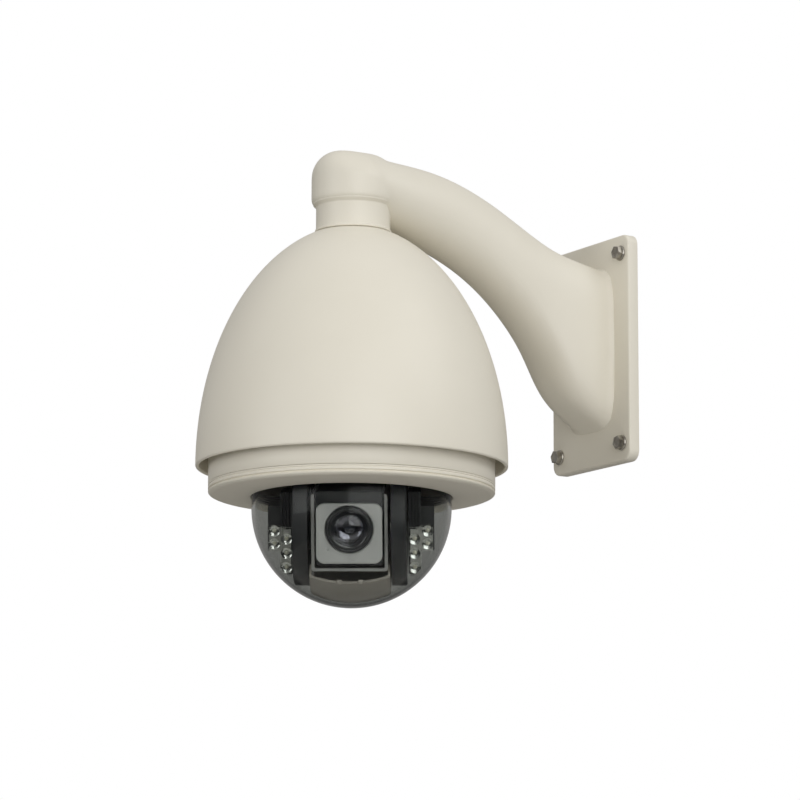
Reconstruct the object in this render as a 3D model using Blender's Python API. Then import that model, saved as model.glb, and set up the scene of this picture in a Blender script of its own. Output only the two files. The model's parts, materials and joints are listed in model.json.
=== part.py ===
"""Dome PTZ camera on a cast wall bracket, each sub-part as its own closed solid.

All sizes are in millimetres and each mesh is written in metres.
Frame: the origin is the centre of the wall plate's back face, the wall is the plane y = 0,
-Y points away from the wall and +Z is up. The dome's axis is vertical at y = -REACH.
"""
import math

import bmesh
import bpy
import numpy as np
from mathutils import Matrix, Vector

MM = 0.001
TOUCH = 0.3            # gap left between two parts that touch

# ---- driving dimensions -------------------------------------------------------------
REACH = 233.0          # wall to dome axis
PLATE_W = 108.5        # wall plate, across
PLATE_H = 183.5        # wall plate, height
PLATE_T = 9.5          # wall plate, thickness
PLATE_CORNER = 8.5     # wall plate, corner radius
PLATE_EDGE = 1.2       # bevel round the plate's front edge
BOLT_IN_X = 10.25      # bolt centres, in from the plate's sides
BOLT_IN_Z = 14.75      # bolt centres, in from the plate's top and bottom
BOLT_SHANK_R = 3.1
BOLT_CLEAR = 0.3       # radial clearance of each bolt in the plate
BOLT_FLANGE_R = 6.5
BOLT_FLANGE_T = 1.3
BOLT_HEX_R = 5.6       # over the corners
BOLT_HEAD_H = 5.5      # flange and hexagon together

FOOT_TOP = 67.2        # arm outline where it meets the plate
FOOT_BOTTOM = -61.0
HEAD_TOP = 137.8       # top of the bracket's round head
HEAD_BOTTOM = 97.0     # where the head steps in to the collar
HEAD_R = 32.2
HEAD_ROUND = 19.0      # rounding of the head's top edge
HEAD_STEP = 2.5        # height of the slope between head and collar
ARM_WALL = 5.5         # casting wall between arm outline and cable duct
ARM_PAST = 2.0         # how far the arm runs past the dome axis inside the head
ARM_SINK = 0.6         # how far the arm's top stays under the head's top
ARM_UNDER = 5.0        # how far the arm's underside ends below the head's step
ARM_OVAL = 2.1         # exponent of the oval section where the arm meets the head
ARM_AT = (0, 0.12, 0.3, 0.6, 0.85, 1)            # shares of the way out, for the half widths
ARM_HALF_WIDTHS = (32, 31, 28.5, 27.5, 29, 31.6)
OVAL_AT = (0, 0.15, 0.4, 1)                      # the section turns from boxy to oval
OVAL_POWERS = (4.6, 3.2, 2.3, ARM_OVAL)
# arm outlines: (share of the way out, share of the way up)
ARM_UPPER = ((0, 0), (0.213, 0.21), (0.355, 0.477), (0.542, 0.769), (0.749, 0.928), (1, 1))
ARM_LOWER = ((0, 0), (0.170, 0.189), (0.248, 0.37), (0.387, 0.602), (0.6, 0.805), (1, 1))
COLLAR_R = 29.0
COLLAR_BORE_R = 20.6
COLLAR_LIP = 1.0       # thin rounded lip at the collar's lower end

SHIELD_LIP_Z = -111.2
SHIELD_TOP_Z = 74.0
SHIELD_WALL = 3.0
SHIELD_HEIGHT = 191.1  # lip to the point where the shield's curve would close
SHIELD_POWER = 2.05    # the two exponents of the shield's bell curve
SHIELD_ROOT = 0.515
HOLE_CLEAR = 1.4       # round the neck, in the shield's top
SEAT_W = 4.0           # flat ring under the shield's top, where the spacer bears
AIR_GAP = 6.0          # between sun shield and inner housing
LIP_SPARE = 1.0        # further gap at the shield's lip

HOUSING_WALL = 3.5
HOUSING_SHOW = 13.4    # how far the housing comes out below the shield's lip
HOUSING_TOP = 56.0
LEDGE_T = 2.7          # ledge inside the housing that carries the chassis plate
LEDGE_W = 7.0

LOCK_R = 2.5           # screw that locks the neck in the collar
NECK_CLEAR = 0.6       # neck in the collar's bore
NECK_BORE_R = 14.0
NECK_FLANGE_R = 34.0
NECK_FLANGE_T = 4.0
NECK_INSERT = 20.0     # length of neck inside the collar

TRIM_H = 7.5           # trim ring, outer height
TRIM_DIP = 2.3         # its underside's fall towards the bubble
TRIM_WALL = 3.0
TRIM_LEDGE_T = 2.1
TRIM_GROOVE = 1.2      # depth of the groove round the trim ring
TRIM_GROOVE_UP = 3.3   # groove's top, above the ring's lower edge
MOUTH_CLEAR = 0.6      # trim ring to bubble

BUBBLE_WALL = 2.5
BUBBLE_CLEAR = 1.0     # inside the bubble, round everything that turns
BUBBLE_SKIRT = 7.5     # centre of the bubble's sphere below the trim ring's mouth
BUBBLE_FLANGE_W = 9.0
BUBBLE_FLANGE_T = 2.5
GASKET_T = 2.0
CLAMP_T = 3.0
CLAMP_OVER = 14.0      # clamp ring beyond the bubble's flange
CLAMP_SIDE = 7.5       # clamp ring to the trim ring's wall
RIB_W = 8.0            # screw rib inside the trim ring
CLAMP_SCREWS = 3
CLAMP_TURN = 11.0      # heading of the first clamp screw, degrees
SCREW_R = 1.5
SCREW_HEAD_R = 2.8
SCREW_HEAD_H = 2.0

PAN_REST = 57.0        # heading of the lens, degrees round from -Y towards +X
TILT_REST = 20.0       # lens below the horizon, degrees
TILT_DROP = 6.1        # tilt axis below the centre of the bubble's sphere

BLOCK_W = 50.0         # zoom block
BLOCK_H = 57.5
BLOCK_FRONT = 46.7     # ahead of the tilt axis
BLOCK_BACK = 40.0      # behind the tilt axis
BLOCK_WALL = 2.0
BEZEL_T = 3.0
BEZEL_RAISE = 2.25     # bezel's lower edge above the block's
BEZEL_OVER = 2.15      # bezel's upper edge above the lens ring
BEZEL_CORNER = 6.5
LENS_RING_R = 17.6
LENS_RING_BORE = 14.8
LENS_RING_L = 7.0
LENS_CLEAR = 0.3
LENS_SAG = 2.4         # bulge of the front lens
CRADLE_T = 2.3
CRADLE_CLEAR = 1.5     # beside the zoom block
CRADLE_UNDER = 2.45    # cradle floor to zoom block
CRADLE_TOP = 26.0
CRADLE_SHORT = 2.7     # cradle's front edge behind the block's
CRADLE_LONG = 2.0      # cradle's back edge behind the block's
ROD_R = 1.5
ROD_IN_X = 8.0         # guide rods, in from the block's sides
ROD_IN_Z = 9.75        # guide rods, in from the block's top and bottom
ROD_CLEAR = 0.3
ZOOM_AT = -22.0        # rest place of the zoom group along the optical axis
FOCUS_AT = 8.0
FILTER_AT = 30.0
FILTER_W = 14.0
FILTER_H = 16.0
FILTER_T = 1.5
GROUP_T = 4.0
GROUP_LENS_R = 11.0

DRUM_CLEAR = 2.5       # cradle's corners to the chin cover
DRUM_WALL = 2.2
CHIN_SIDE = 1.3        # chin cover's side flanges
CHIN_START = 38.0      # chin cover, degrees below the optical axis
CHIN_SWEEP = 120.0
CHIN_LAP = 6.41        # chin cover's side flanges over the cradle's sides

YOKE_GAP = 1.1         # chin cover to yoke arm
YOKE_DEPTH = 11.5      # yoke arms, across
YOKE_WALL = 3.0
YOKE_IN = 6.5          # yoke's round lower end inside the drum's radius
YOKE_TOP_HALF = 44.0
YOKE_SHOULDER = 12.0   # where the yoke's sides begin to taper, above the tilt axis
YOKE_RIM = 2.5
TILT_SHAFT_R = 5.0

LAMP_GAP = 1.0         # yoke arm to lamp head
LAMP_DEEP_W = 9.5      # width of the deep column of lamps
LAMP_STEP_W = 10.0     # width of the shallow column
LAMP_FACE = 24.0       # lens plate of the deep column, ahead of the tilt axis
LAMP_STEP_FACE = 16.0  # lens plate of the shallow column
LAMP_BACK = 12.0
LAMP_LOW = -41.0
LAMP_HIGH = 24.0
LAMP_STEP_LOW = -24.0
LAMP_STEP_HIGH = 10.0
LAMP_PLATE_TOP = -5.0
LAMP_CHAMFER = 6.0
LAMP_FINS = 4
LENS_PLATE_T = 2.5
LED_BOARD_T = 1.2
LED_R = 4.4            # round lamp lenses
LED_RISE = 2.2
LED_ROWS = (-13.0, -24.0, -35.0)
LED_STEP_ROWS = (-8.5, -18.5)

PLATTER_R = 56.0
PLATTER_T = 3.0
PLATTER_CLEAR = 2.5    # drum to platter
SHAFT_R = 14.5         # hollow pan shaft
SHAFT_BORE_R = 9.5
SHAFT_OVER = 11.0      # pan shaft's end above the hub
CHASSIS_T = 3.0
CHASSIS_GAP = 4.2      # pan pulley to chassis plate
CHASSIS_SIDE = 2.0     # chassis plate to the housing's wall
HUB_WALL = 3.7         # chassis hub around the pan bearing
HUB_SEAT = 2.0         # ledge under the bearing
BEARING_H = 8.0
RACE_T = 2.3
BALL_R = 2.3
BALLS = 6
BALL_CLEAR = 0.4

BELT_T = 1.5
BELT_W = 5.0
BELT_CLEAR = 0.3
PULLEY_LIP = 1.4       # how far pulley cheeks stand over the belt seat
PULLEY_CHEEK = 1.2
PAN_PULLEY_R = 40.0
PAN_MOTOR_PULLEY_R = 8.0
PAN_MOTOR_X = -62.0    # pan motor, from the dome axis
PAN_MOTOR_SIDE = 35.0
PAN_MOTOR_H = 26.0
PILOT_R = 9.0
MOTOR_SHAFT_R = 2.5
MOTOR_SHAFT_IN = 11.0  # length of the pan motor's shaft inside its body
TILT_PULLEY_R = 24.0
TILT_MOTOR_PULLEY_R = 6.0
TILT_MOTOR_R = 11.5
TILT_MOTOR_L = 24.0
TILT_SHAFT_IN = 8.0    # length of the tilt motor's shaft inside its body

FAN_X = 55.0
FAN_SIDE = 40.0
FAN_T = 10.0
FAN_WALL = 1.6
FAN_HUB_R = 9.0
FAN_STRUT = 1.5
FAN_BLADES = 7
POST_AT = 38.0
POST_R = 3.2
BOARD_LIFT = 47.0      # power board above the chassis plate
BOARD_T = 1.6
POWER_BOARD_X = 58.0   # half length
POWER_BOARD_Y = 45.0   # half width
TERMINALS = 6
TERMINAL_HALF = 20.0
SLIP_RINGS = 3
SLIP_CUP_L = 20.0      # brush housing above the pan shaft

ROUND_BIG = 30         # sides of round shapes
ROUND_MID = 18
ROUND_SMALL = 10

# ---- sizes that follow from the driving dimensions ----------------------------------
BOLT_X = PLATE_W / 2 - BOLT_IN_X
BOLT_Z = PLATE_H / 2 - BOLT_IN_Z
COLLAR_BOTTOM = SHIELD_TOP_Z + TOUCH
LOCK_Z = (COLLAR_BOTTOM + HEAD_BOTTOM) / 2
NECK_R = COLLAR_BORE_R - NECK_CLEAR
NECK_TOP = COLLAR_BOTTOM + NECK_INSERT
SHIELD_HOLE_R = COLLAR_BORE_R + HOLE_CLEAR
SHIELD_SEAT_R = SHIELD_HOLE_R + SEAT_W
HOUSING_BOTTOM = SHIELD_LIP_Z - HOUSING_SHOW
TRIM_EDGE_Z = HOUSING_BOTTOM - TRIM_H
TRIM_MOUTH_Z = TRIM_EDGE_Z - TRIM_DIP
LEDGE_Z = TRIM_MOUTH_Z + TRIM_LEDGE_T

# zoom block, its cradle and the drum that they turn in
CRADLE_HALF = BLOCK_W / 2 + CRADLE_CLEAR + CRADLE_T
CRADLE_FRONT = BLOCK_FRONT - CRADLE_SHORT
CRADLE_BACK = BLOCK_BACK + CRADLE_LONG
CRADLE_FLOOR = -(BLOCK_H / 2 + CRADLE_UNDER + CRADLE_T)
BEZEL_FRONT = BLOCK_FRONT + TOUCH + BEZEL_T
BEZEL_BOTTOM = BEZEL_RAISE - BLOCK_H / 2
BEZEL_TOP = LENS_RING_R + BEZEL_OVER
ROD_X = BLOCK_W / 2 - ROD_IN_X
ROD_Z = BLOCK_H / 2 - ROD_IN_Z
DRUM_CORNER = max(math.hypot(CRADLE_FRONT, CRADLE_FLOOR), math.hypot(CRADLE_BACK, CRADLE_FLOOR),
                  math.hypot(BLOCK_FRONT, BLOCK_H / 2))
DRUM_R = DRUM_CORNER + DRUM_CLEAR + DRUM_WALL
DRUM_HALF = CRADLE_HALF + TOUCH + CHIN_SIDE
YOKE_R = DRUM_R - YOKE_IN
YOKE_INNER = DRUM_HALF + YOKE_GAP
YOKE_OUTER = YOKE_INNER + YOKE_DEPTH
LAMP_INNER = YOKE_OUTER + LAMP_GAP
LAMP_STEP = LAMP_INNER + LAMP_DEEP_W
LAMP_OUTER = LAMP_STEP + LAMP_STEP_W

# the bubble clears what turns in it, and the rings and shells clear the bubble
REACH_IN_BUBBLE = max(
    math.hypot(DRUM_HALF, DRUM_R + TILT_DROP),
    math.hypot(YOKE_OUTER, YOKE_R + TILT_DROP),
    math.hypot(LAMP_OUTER, math.hypot(LAMP_STEP_FACE, LAMP_STEP_LOW) + TILT_DROP),
    math.hypot(LAMP_STEP - LAMP_CHAMFER, math.hypot(LAMP_FACE, LAMP_LOW) + TILT_DROP))
BUBBLE_R = REACH_IN_BUBBLE + BUBBLE_CLEAR + BUBBLE_WALL
BUBBLE_Z = TRIM_MOUTH_Z - BUBBLE_SKIRT
BUBBLE_MOUTH_R = BUBBLE_R + MOUTH_CLEAR
FLANGE_R = BUBBLE_R + BUBBLE_FLANGE_W
FLANGE_TOP = LEDGE_Z + TOUCH + BUBBLE_FLANGE_T
GASKET_TOP = FLANGE_TOP + TOUCH + GASKET_T
CLAMP_BOTTOM = GASKET_TOP + TOUCH
CLAMP_R = FLANGE_R + CLAMP_OVER
CLAMP_SCREW_R = CLAMP_R - RIB_W / 2
HOUSING_R = CLAMP_R + CLAMP_SIDE + TRIM_WALL
SHIELD_R = HOUSING_R + AIR_GAP + SHIELD_WALL + LIP_SPARE

# levels above the drum, from the platter up to the boards
TILT_Z = BUBBLE_Z - TILT_DROP
PLATTER_LOW = TILT_Z + DRUM_R + PLATTER_CLEAR
PLATTER_TOP = PLATTER_LOW + PLATTER_T
TILT_MOTOR_UP = PLATTER_LOW - TOUCH - TILT_MOTOR_R - TILT_Z
PULLEY_H = BELT_W + 2 * (PULLEY_CHEEK + BELT_CLEAR)
PULLEY_Z0 = PLATTER_TOP + TOUCH
PULLEY_Z1 = PULLEY_Z0 + PULLEY_H
CHASSIS_BOTTOM = PULLEY_Z1 + CHASSIS_GAP
CHASSIS_TOP = CHASSIS_BOTTOM + CHASSIS_T
LEDGE_TOP = CHASSIS_TOP + TOUCH + LEDGE_T
HUB_TOP = CHASSIS_BOTTOM + BEARING_H
RACE_IN_R = SHAFT_R + TOUCH
RACE_OUT_R = RACE_IN_R + 2 * RACE_T + 2 * (BALL_R + BALL_CLEAR)
BALL_PITCH_R = (RACE_IN_R + RACE_OUT_R) / 2
HUB_R = RACE_OUT_R + TOUCH + HUB_WALL
SHAFT_TOP = HUB_TOP + SHAFT_OVER
BOARD_Z = CHASSIS_TOP + BOARD_LIFT


# ---- materials and helpers ----------------------------------------------------------
def material(name, color, rough, metal=0.0, clear=0.0):
    """A Principled material with the part's colour and finish."""
    mat = bpy.data.materials.new(name)
    mat.use_nodes = True
    shader = mat.node_tree.nodes["Principled BSDF"]
    shader.inputs["Base Color"].default_value = (*color, 1.0)
    shader.inputs["Roughness"].default_value = rough
    shader.inputs["Metallic"].default_value = metal
    shader.inputs["Transmission Weight"].default_value = clear
    mat.diffuse_color = (*color, 1.0)
    return mat


def empty(name, at, parent=None, turn=(0.0, 0.0, 0.0)):
    """An axis marker that parts are hung from."""
    marker = bpy.data.objects.new(name, None)
    bpy.context.scene.collection.objects.link(marker)
    marker.location = Vector(at) * MM
    marker.rotation_euler = turn
    marker.parent = parent
    return marker


def piece(name, shape, finish, parent=None, at=(0, 0, 0), sharp=35.0):
    """Turn a shape drawn in millimetres into a named object."""
    mesh = bpy.data.meshes.new(name)
    bmesh.ops.recalc_face_normals(shape, faces=shape.faces)
    shape.to_mesh(mesh)
    shape.free()
    mesh.transform(Matrix.Scale(MM, 4))
    mesh.shade_smooth()
    mesh.set_sharp_from_angle(angle=math.radians(sharp))
    mesh.materials.append(finish)
    obj = bpy.data.objects.new(name, mesh)
    bpy.context.scene.collection.objects.link(obj)
    obj.parent = parent
    obj.location = Vector(at) * MM
    return obj


def combine(obj, shape, operation):
    """Add a Boolean with a hidden helper shape, drawn in the object's own frame."""
    helper = piece(obj.name + "_helper", shape, obj.data.materials[0], obj.parent)
    helper.location = obj.location
    helper.display_type = "WIRE"
    helper.hide_render = True
    step = obj.modifiers.new(operation.title(), "BOOLEAN")
    step.operation = operation
    step.object = helper
    return obj


def cut(obj, shape):
    return combine(obj, shape, "DIFFERENCE")


def join(obj, shape):
    return combine(obj, shape, "UNION")


def box(low, high, bevel=0.0, only=None):
    """A block between two corners; only picks, by direction, the edges to bevel."""
    shape = bmesh.new()
    low, high = Vector(low), Vector(high)
    size = Matrix.Diagonal((*(high - low), 1.0))
    bmesh.ops.create_cube(shape, size=1.0, matrix=Matrix.Translation((low + high) / 2) @ size)
    if bevel > 0:
        edges = list(shape.edges)
        if only is not None:
            edges = [e for e in edges
                     if abs((e.verts[0].co - e.verts[1].co).normalized().dot(Vector(only))) > 0.9]
        bmesh.ops.bevel(shape, geom=edges, offset=bevel, segments=4, affect="EDGES", profile=0.5)
    return shape


def rod(radius, start, end, segments=ROUND_SMALL):
    """A round bar between two points."""
    shape = bmesh.new()
    start, end = Vector(start), Vector(end)
    turn = (end - start).to_track_quat("Z", "Y").to_matrix().to_4x4()
    bmesh.ops.create_cone(shape, cap_ends=True, segments=segments, radius1=radius,
                          radius2=radius, depth=(end - start).length,
                          matrix=Matrix.Translation((start + end) / 2) @ turn)
    return shape


def bore(radius, start, end, segments=ROUND_SMALL):
    """A cutter for a round hole: its flats lie at the radius, so a shaft of that size clears them."""
    return rod(radius / math.cos(math.pi / segments), start, end, segments)


def turned(profile, segments=ROUND_BIG, axis="Z"):
    """Spin a profile of (radius, height) points; one that starts and ends at radius 0 is solid."""
    shape = bmesh.new()
    verts = [shape.verts.new((r, 0.0, h)) for r, h in profile]
    pairs = list(zip(verts, verts[1:]))
    if profile[0][0] > 0:
        pairs.append((verts[-1], verts[0]))
    edges = [shape.edges.new(pair) for pair in pairs]
    bmesh.ops.spin(shape, geom=verts + edges, axis=(0, 0, 1), cent=(0, 0, 0),
                   angle=2 * math.pi, steps=segments)
    bmesh.ops.remove_doubles(shape, verts=shape.verts, dist=1e-3)
    if axis == "X":
        bmesh.ops.rotate(shape, verts=shape.verts, matrix=Matrix.Rotation(math.pi / 2, 3, "Y"))
    if axis == "Y":
        bmesh.ops.rotate(shape, verts=shape.verts, matrix=Matrix.Rotation(math.pi / 2, 3, "X"))
    return shape


def prism(outline, start, end):
    """Extrude a closed outline of (y, z) points along X."""
    shape = bmesh.new()
    face = shape.faces.new([shape.verts.new((start, y, z)) for y, z in outline])
    made = bmesh.ops.extrude_face_region(shape, geom=[face])
    moved = [v for v in made["geom"] if isinstance(v, bmesh.types.BMVert)]
    bmesh.ops.translate(shape, verts=moved, vec=(end - start, 0, 0))
    return shape


def arc(center, radius, start, end, steps):
    """Points on an arc, angles in degrees from the first axis."""
    angles = np.radians(np.linspace(start, end, steps + 1))
    return [(center[0] + radius * math.cos(a), center[1] + radius * math.sin(a)) for a in angles]


def beside(points, distance):
    """The same open outline moved sideways by a distance."""
    line = np.array(points)
    along = np.gradient(line, axis=0)
    along /= np.linalg.norm(along, axis=1)[:, None]
    normal = np.stack([-along[:, 1], along[:, 0]], axis=1)
    return [tuple(p) for p in line + distance * normal]


def flat_arc(center, radius, start, end, steps):
    """An arc whose flats, not its corners, lie at the radius."""
    half_step = math.radians(abs(end - start)) / steps / 2
    return arc(center, radius / math.cos(half_step), start, end, steps)


def belt_outline(far, radius, far_radius, steps=8):
    """A belt round a pulley at (0, 0) and a second one at a distance above it."""
    lean = math.degrees(math.asin((radius - far_radius) / far))
    low = flat_arc((0, 0), radius, 180 - lean, 360 + lean, 2 * steps)
    high = flat_arc((0, far), far_radius, lean, 180 - lean, steps)
    return low + high


def belt(far, radius, far_radius, start, end):
    """A closed belt loop that clears both pulley seats, extruded along X."""
    inner = belt_outline(far, radius + BELT_CLEAR, far_radius + BELT_CLEAR)
    outer = belt_outline(far, radius + BELT_CLEAR + BELT_T, far_radius + BELT_CLEAR + BELT_T)
    shape = bmesh.new()
    loops = [[shape.verts.new((x, y, z)) for y, z in outline]
             for outline, x in ((outer, start), (outer, end), (inner, end), (inner, start))]
    count = len(inner)
    for a, b in zip(loops, loops[1:] + loops[:1]):
        for i in range(count):
            shape.faces.new((a[i], a[(i + 1) % count], b[(i + 1) % count], b[i]))
    return shape


def pulley_profile(seat, hole, low, high):
    """Cross-section of a flanged belt pulley."""
    lip = seat + BELT_CLEAR + PULLEY_LIP
    return [(hole, low), (lip, low), (lip, low + PULLEY_CHEEK), (seat, low + PULLEY_CHEEK),
            (seat, high - PULLEY_CHEEK), (lip, high - PULLEY_CHEEK), (lip, high), (hole, high)]


# ---- bracket ------------------------------------------------------------------------
def smooth_curve(points, t):
    """The smooth curve through evenly spaced points, at t from 0 to 1."""
    knots = np.linspace(0, 1, len(points))
    values = np.array(points)
    return np.array([np.polyval(np.polyfit(knots, values[:, k], len(points) - 1), t)
                     for k in range(2)])


def arm_outlines():
    """Upper and lower edge of the arm, as (y, z) points from the plate to the head."""
    out = REACH + ARM_PAST - PLATE_T
    high, low = HEAD_TOP - ARM_SINK, HEAD_BOTTOM - ARM_UNDER
    top = [(-PLATE_T - s * out, FOOT_TOP + k * (high - FOOT_TOP)) for s, k in ARM_UPPER]
    under = [(-PLATE_T - s * out, FOOT_BOTTOM + k * (low - FOOT_BOTTOM)) for s, k in ARM_LOWER]
    return top, under


def arm_loft(inset, rings, corners, reach_back):
    """The arm as a skin of oval rings; inset draws the cable duct inside it."""
    top, under = arm_outlines()
    shape = bmesh.new()
    loops = []
    for t in np.linspace(0.0, 1.0, rings):
        upper, lower = smooth_curve(top, t), smooth_curve(under, t)
        middle = (upper + lower) / 2
        half = (upper - lower) / 2
        half *= 1 - inset / np.linalg.norm(half)
        width = np.interp(t, ARM_AT, ARM_HALF_WIDTHS) - inset
        power = 2 / np.interp(t, OVAL_AT, OVAL_POWERS)
        loop = []
        for a in np.linspace(0, 2 * math.pi, corners, endpoint=False):
            c, s = math.cos(a), math.sin(a)
            across = width * math.copysign(abs(c) ** power, c)
            along = math.copysign(abs(s) ** power, s)
            y, z = middle + half * along
            loop.append(shape.verts.new((across, y, z)))
        loops.append(loop)
    back = [shape.verts.new((v.co.x, v.co.y + reach_back, v.co.z)) for v in loops[0]]
    loops.insert(0, back)
    for a, b in zip(loops, loops[1:]):
        for i in range(corners):
            shape.faces.new((a[i], a[(i + 1) % corners], b[(i + 1) % corners], b[i]))
    shape.faces.new(loops[0])
    shape.faces.new(loops[-1])
    return shape


def at_dome(shape, twist=0.0):
    """Move a shape drawn about the dome's axis to the end of the arm.

    The twist keeps its edges out of the arm's middle plane, so that a Boolean is exact.
    """
    bmesh.ops.rotate(shape, verts=shape.verts, matrix=Matrix.Rotation(math.radians(twist), 3, "Z"))
    bmesh.ops.translate(shape, verts=shape.verts, vec=(0, -REACH, 0))
    return shape


def bolt_places():
    return [(sx * BOLT_X, sz * BOLT_Z) for sx in (1, -1) for sz in (1, -1)]


def head_shape():
    """Round head and collar; above its middle the head takes on the arm's oval section."""
    head = [(0, HEAD_TOP), (HEAD_R - HEAD_ROUND, HEAD_TOP)]
    head += arc((HEAD_R - HEAD_ROUND, HEAD_TOP - HEAD_ROUND), HEAD_ROUND, 75, 0, 5)
    head += [(HEAD_R, HEAD_BOTTOM + HEAD_STEP), (HEAD_R - HEAD_STEP / 3, HEAD_BOTTOM),
             (COLLAR_R, HEAD_BOTTOM - HEAD_STEP)]
    lip = COLLAR_R + COLLAR_LIP
    head += [(COLLAR_R, COLLAR_BOTTOM + 3 * COLLAR_LIP), (lip, COLLAR_BOTTOM + 2 * COLLAR_LIP),
             (lip, COLLAR_BOTTOM + COLLAR_LIP), (COLLAR_R, COLLAR_BOTTOM), (0, COLLAR_BOTTOM)]
    shape = turned(head, ROUND_MID + 6)
    middle = (HEAD_TOP - ARM_SINK + HEAD_BOTTOM - ARM_UNDER) / 2
    for vert in shape.verts:
        if vert.co.z > middle:
            across = min(abs(vert.co.x) / (HEAD_R + TOUCH), 1.0)
            share = (1 - across ** ARM_OVAL) ** (1 / ARM_OVAL)
            vert.co.z = middle + (vert.co.z - middle) * max(share, 0.1)
    return shape


def make_bracket(paint):
    """Wall plate, arm, head and collar as one hollow casting."""
    plate = box((-PLATE_W / 2, -PLATE_T, -PLATE_H / 2), (PLATE_W / 2, 0, PLATE_H / 2),
                PLATE_CORNER, only=(0, 1, 0))
    front = [e for e in plate.edges if all(v.co.y < -PLATE_T / 2 for v in e.verts)]
    bmesh.ops.bevel(plate, geom=front, offset=PLATE_EDGE, segments=2, affect="EDGES", profile=0.5)
    obj = piece("wall_bracket", plate, paint)
    join(obj, arm_loft(0.0, 11, 20, PLATE_T / 2))
    join(obj, at_dome(head_shape(), 4.0))
    cut(obj, arm_loft(ARM_WALL, 7, 14, 2 * PLATE_T))
    low, high = (0, 0, COLLAR_BOTTOM - 5), (0, 0, HEAD_TOP - 2 * ARM_WALL)
    cut(obj, at_dome(bore(COLLAR_BORE_R, low, high, ROUND_MID), 7.0))
    cut(obj, at_dome(bore(LOCK_R + TOUCH, (-2 * COLLAR_R, 0, LOCK_Z), (0, 0, LOCK_Z))))
    for x, z in bolt_places():
        cut(obj, bore(BOLT_SHANK_R + BOLT_CLEAR, (x, -2 * PLATE_T, z), (x, PLATE_T, z)))
    return obj


def make_bolt(name, place, steel):
    """A hex flange bolt; its shank stops inside the plate, where the wall would begin."""
    x, z = place
    top = TOUCH + BOLT_HEAD_H
    profile = [(0, 0.5 - PLATE_T), (BOLT_SHANK_R, 0.5 - PLATE_T), (BOLT_SHANK_R, TOUCH),
               (BOLT_FLANGE_R, TOUCH), (BOLT_FLANGE_R, TOUCH + BOLT_FLANGE_T / 2),
               (BOLT_HEX_R, TOUCH + BOLT_FLANGE_T), (0, TOUCH + BOLT_FLANGE_T)]
    obj = piece(name, turned(profile, ROUND_SMALL, "Y"), steel, at=(x, -PLATE_T, z))
    hexagon = rod(BOLT_HEX_R - TOUCH, (0, -TOUCH - BOLT_FLANGE_T / 2, 0), (0, -top, 0), 6)
    return join(obj, hexagon)


# ---- head: shield, housing, trim and bubble -----------------------------------------
def shield_radius(z):
    """The bell curve of the sun shield's outer face."""
    share = (z - SHIELD_LIP_Z) / SHIELD_HEIGHT
    return SHIELD_R * (1 - max(share, 0.0) ** SHIELD_POWER) ** SHIELD_ROOT


def curve_levels(low, high, count):
    """Heights that crowd together towards the top, where the bell turns over."""
    return [low + (high - low) * math.sin(a) for a in np.linspace(0, math.pi / 2, count)]


def make_shield(paint, axis):
    levels = curve_levels(SHIELD_LIP_Z, SHIELD_TOP_Z, 9)
    outer = [(shield_radius(z), z) for z in levels]
    inner = beside(outer, SHIELD_WALL)
    inner = [p for p in inner if p[1] < SHIELD_TOP_Z - SHIELD_WALL]
    inner[0] = (SHIELD_R - SHIELD_WALL, SHIELD_LIP_Z)
    roof = [(SHIELD_HOLE_R, SHIELD_TOP_Z), (SHIELD_HOLE_R, SHIELD_TOP_Z - SHIELD_WALL),
            (SHIELD_SEAT_R, SHIELD_TOP_Z - SHIELD_WALL)]
    return piece("sun_shield", turned(outer + roof + inner[::-1]), paint, axis)


def housing_radius(z):
    return min(HOUSING_R, shield_radius(z) - SHIELD_WALL - AIR_GAP)


def make_housing(paint, axis):
    """The drum and dome under the shield, with a ledge for the chassis plate."""
    levels = [HOUSING_BOTTOM, SHIELD_LIP_Z + 12.0] + curve_levels(LEDGE_TOP - 21.0, HOUSING_TOP, 6)
    outer = [(housing_radius(z), z) for z in levels]
    top_in = HOUSING_TOP - HOUSING_WALL
    levels = [HOUSING_BOTTOM, LEDGE_TOP - LEDGE_T, LEDGE_TOP] + curve_levels(LEDGE_TOP + 14.0, top_in, 5)
    inner = [(housing_radius(z) - HOUSING_WALL, z) for z in levels]
    low, high = inner[1], inner[2]
    ledge = [(low[0] - LEDGE_W, low[1]), (high[0] - LEDGE_W, high[1])]
    inside = [inner[0], low] + ledge + inner[2:]
    hole = NECK_BORE_R + 2.0
    profile = outer + [(hole, HOUSING_TOP), (hole, top_in)] + inside[::-1]
    return piece("inner_housing", turned(profile), paint, axis)


def make_neck(metal, rubber, steel, axis):
    flange = HOUSING_TOP + TOUCH
    profile = [(NECK_BORE_R, flange), (NECK_FLANGE_R, flange), (NECK_FLANGE_R, flange + NECK_FLANGE_T),
               (NECK_R, flange + NECK_FLANGE_T), (NECK_R, NECK_TOP), (NECK_BORE_R, NECK_TOP)]
    adapter = piece("neck_adapter", turned(profile, ROUND_MID), metal, axis)
    depth = NECK_R - 2.0
    cut(adapter, bore(LOCK_R + TOUCH, (-2 * COLLAR_R, 0, LOCK_Z), (-depth, 0, LOCK_Z)))
    low, high = flange + NECK_FLANGE_T + TOUCH, SHIELD_TOP_Z - SHIELD_WALL - TOUCH
    inner, outer = NECK_R + TOUCH, SHIELD_SEAT_R - 1.0
    ring = [(inner, low), (outer, low), (outer, high), (inner, high)]
    piece("shield_spacer", turned(ring, ROUND_MID), rubber, axis)
    piece("neck_lock_screw", rod(LOCK_R, (-COLLAR_R + 0.5, 0, LOCK_Z), (-depth - TOUCH, 0, LOCK_Z)),
          steel, axis)


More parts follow.
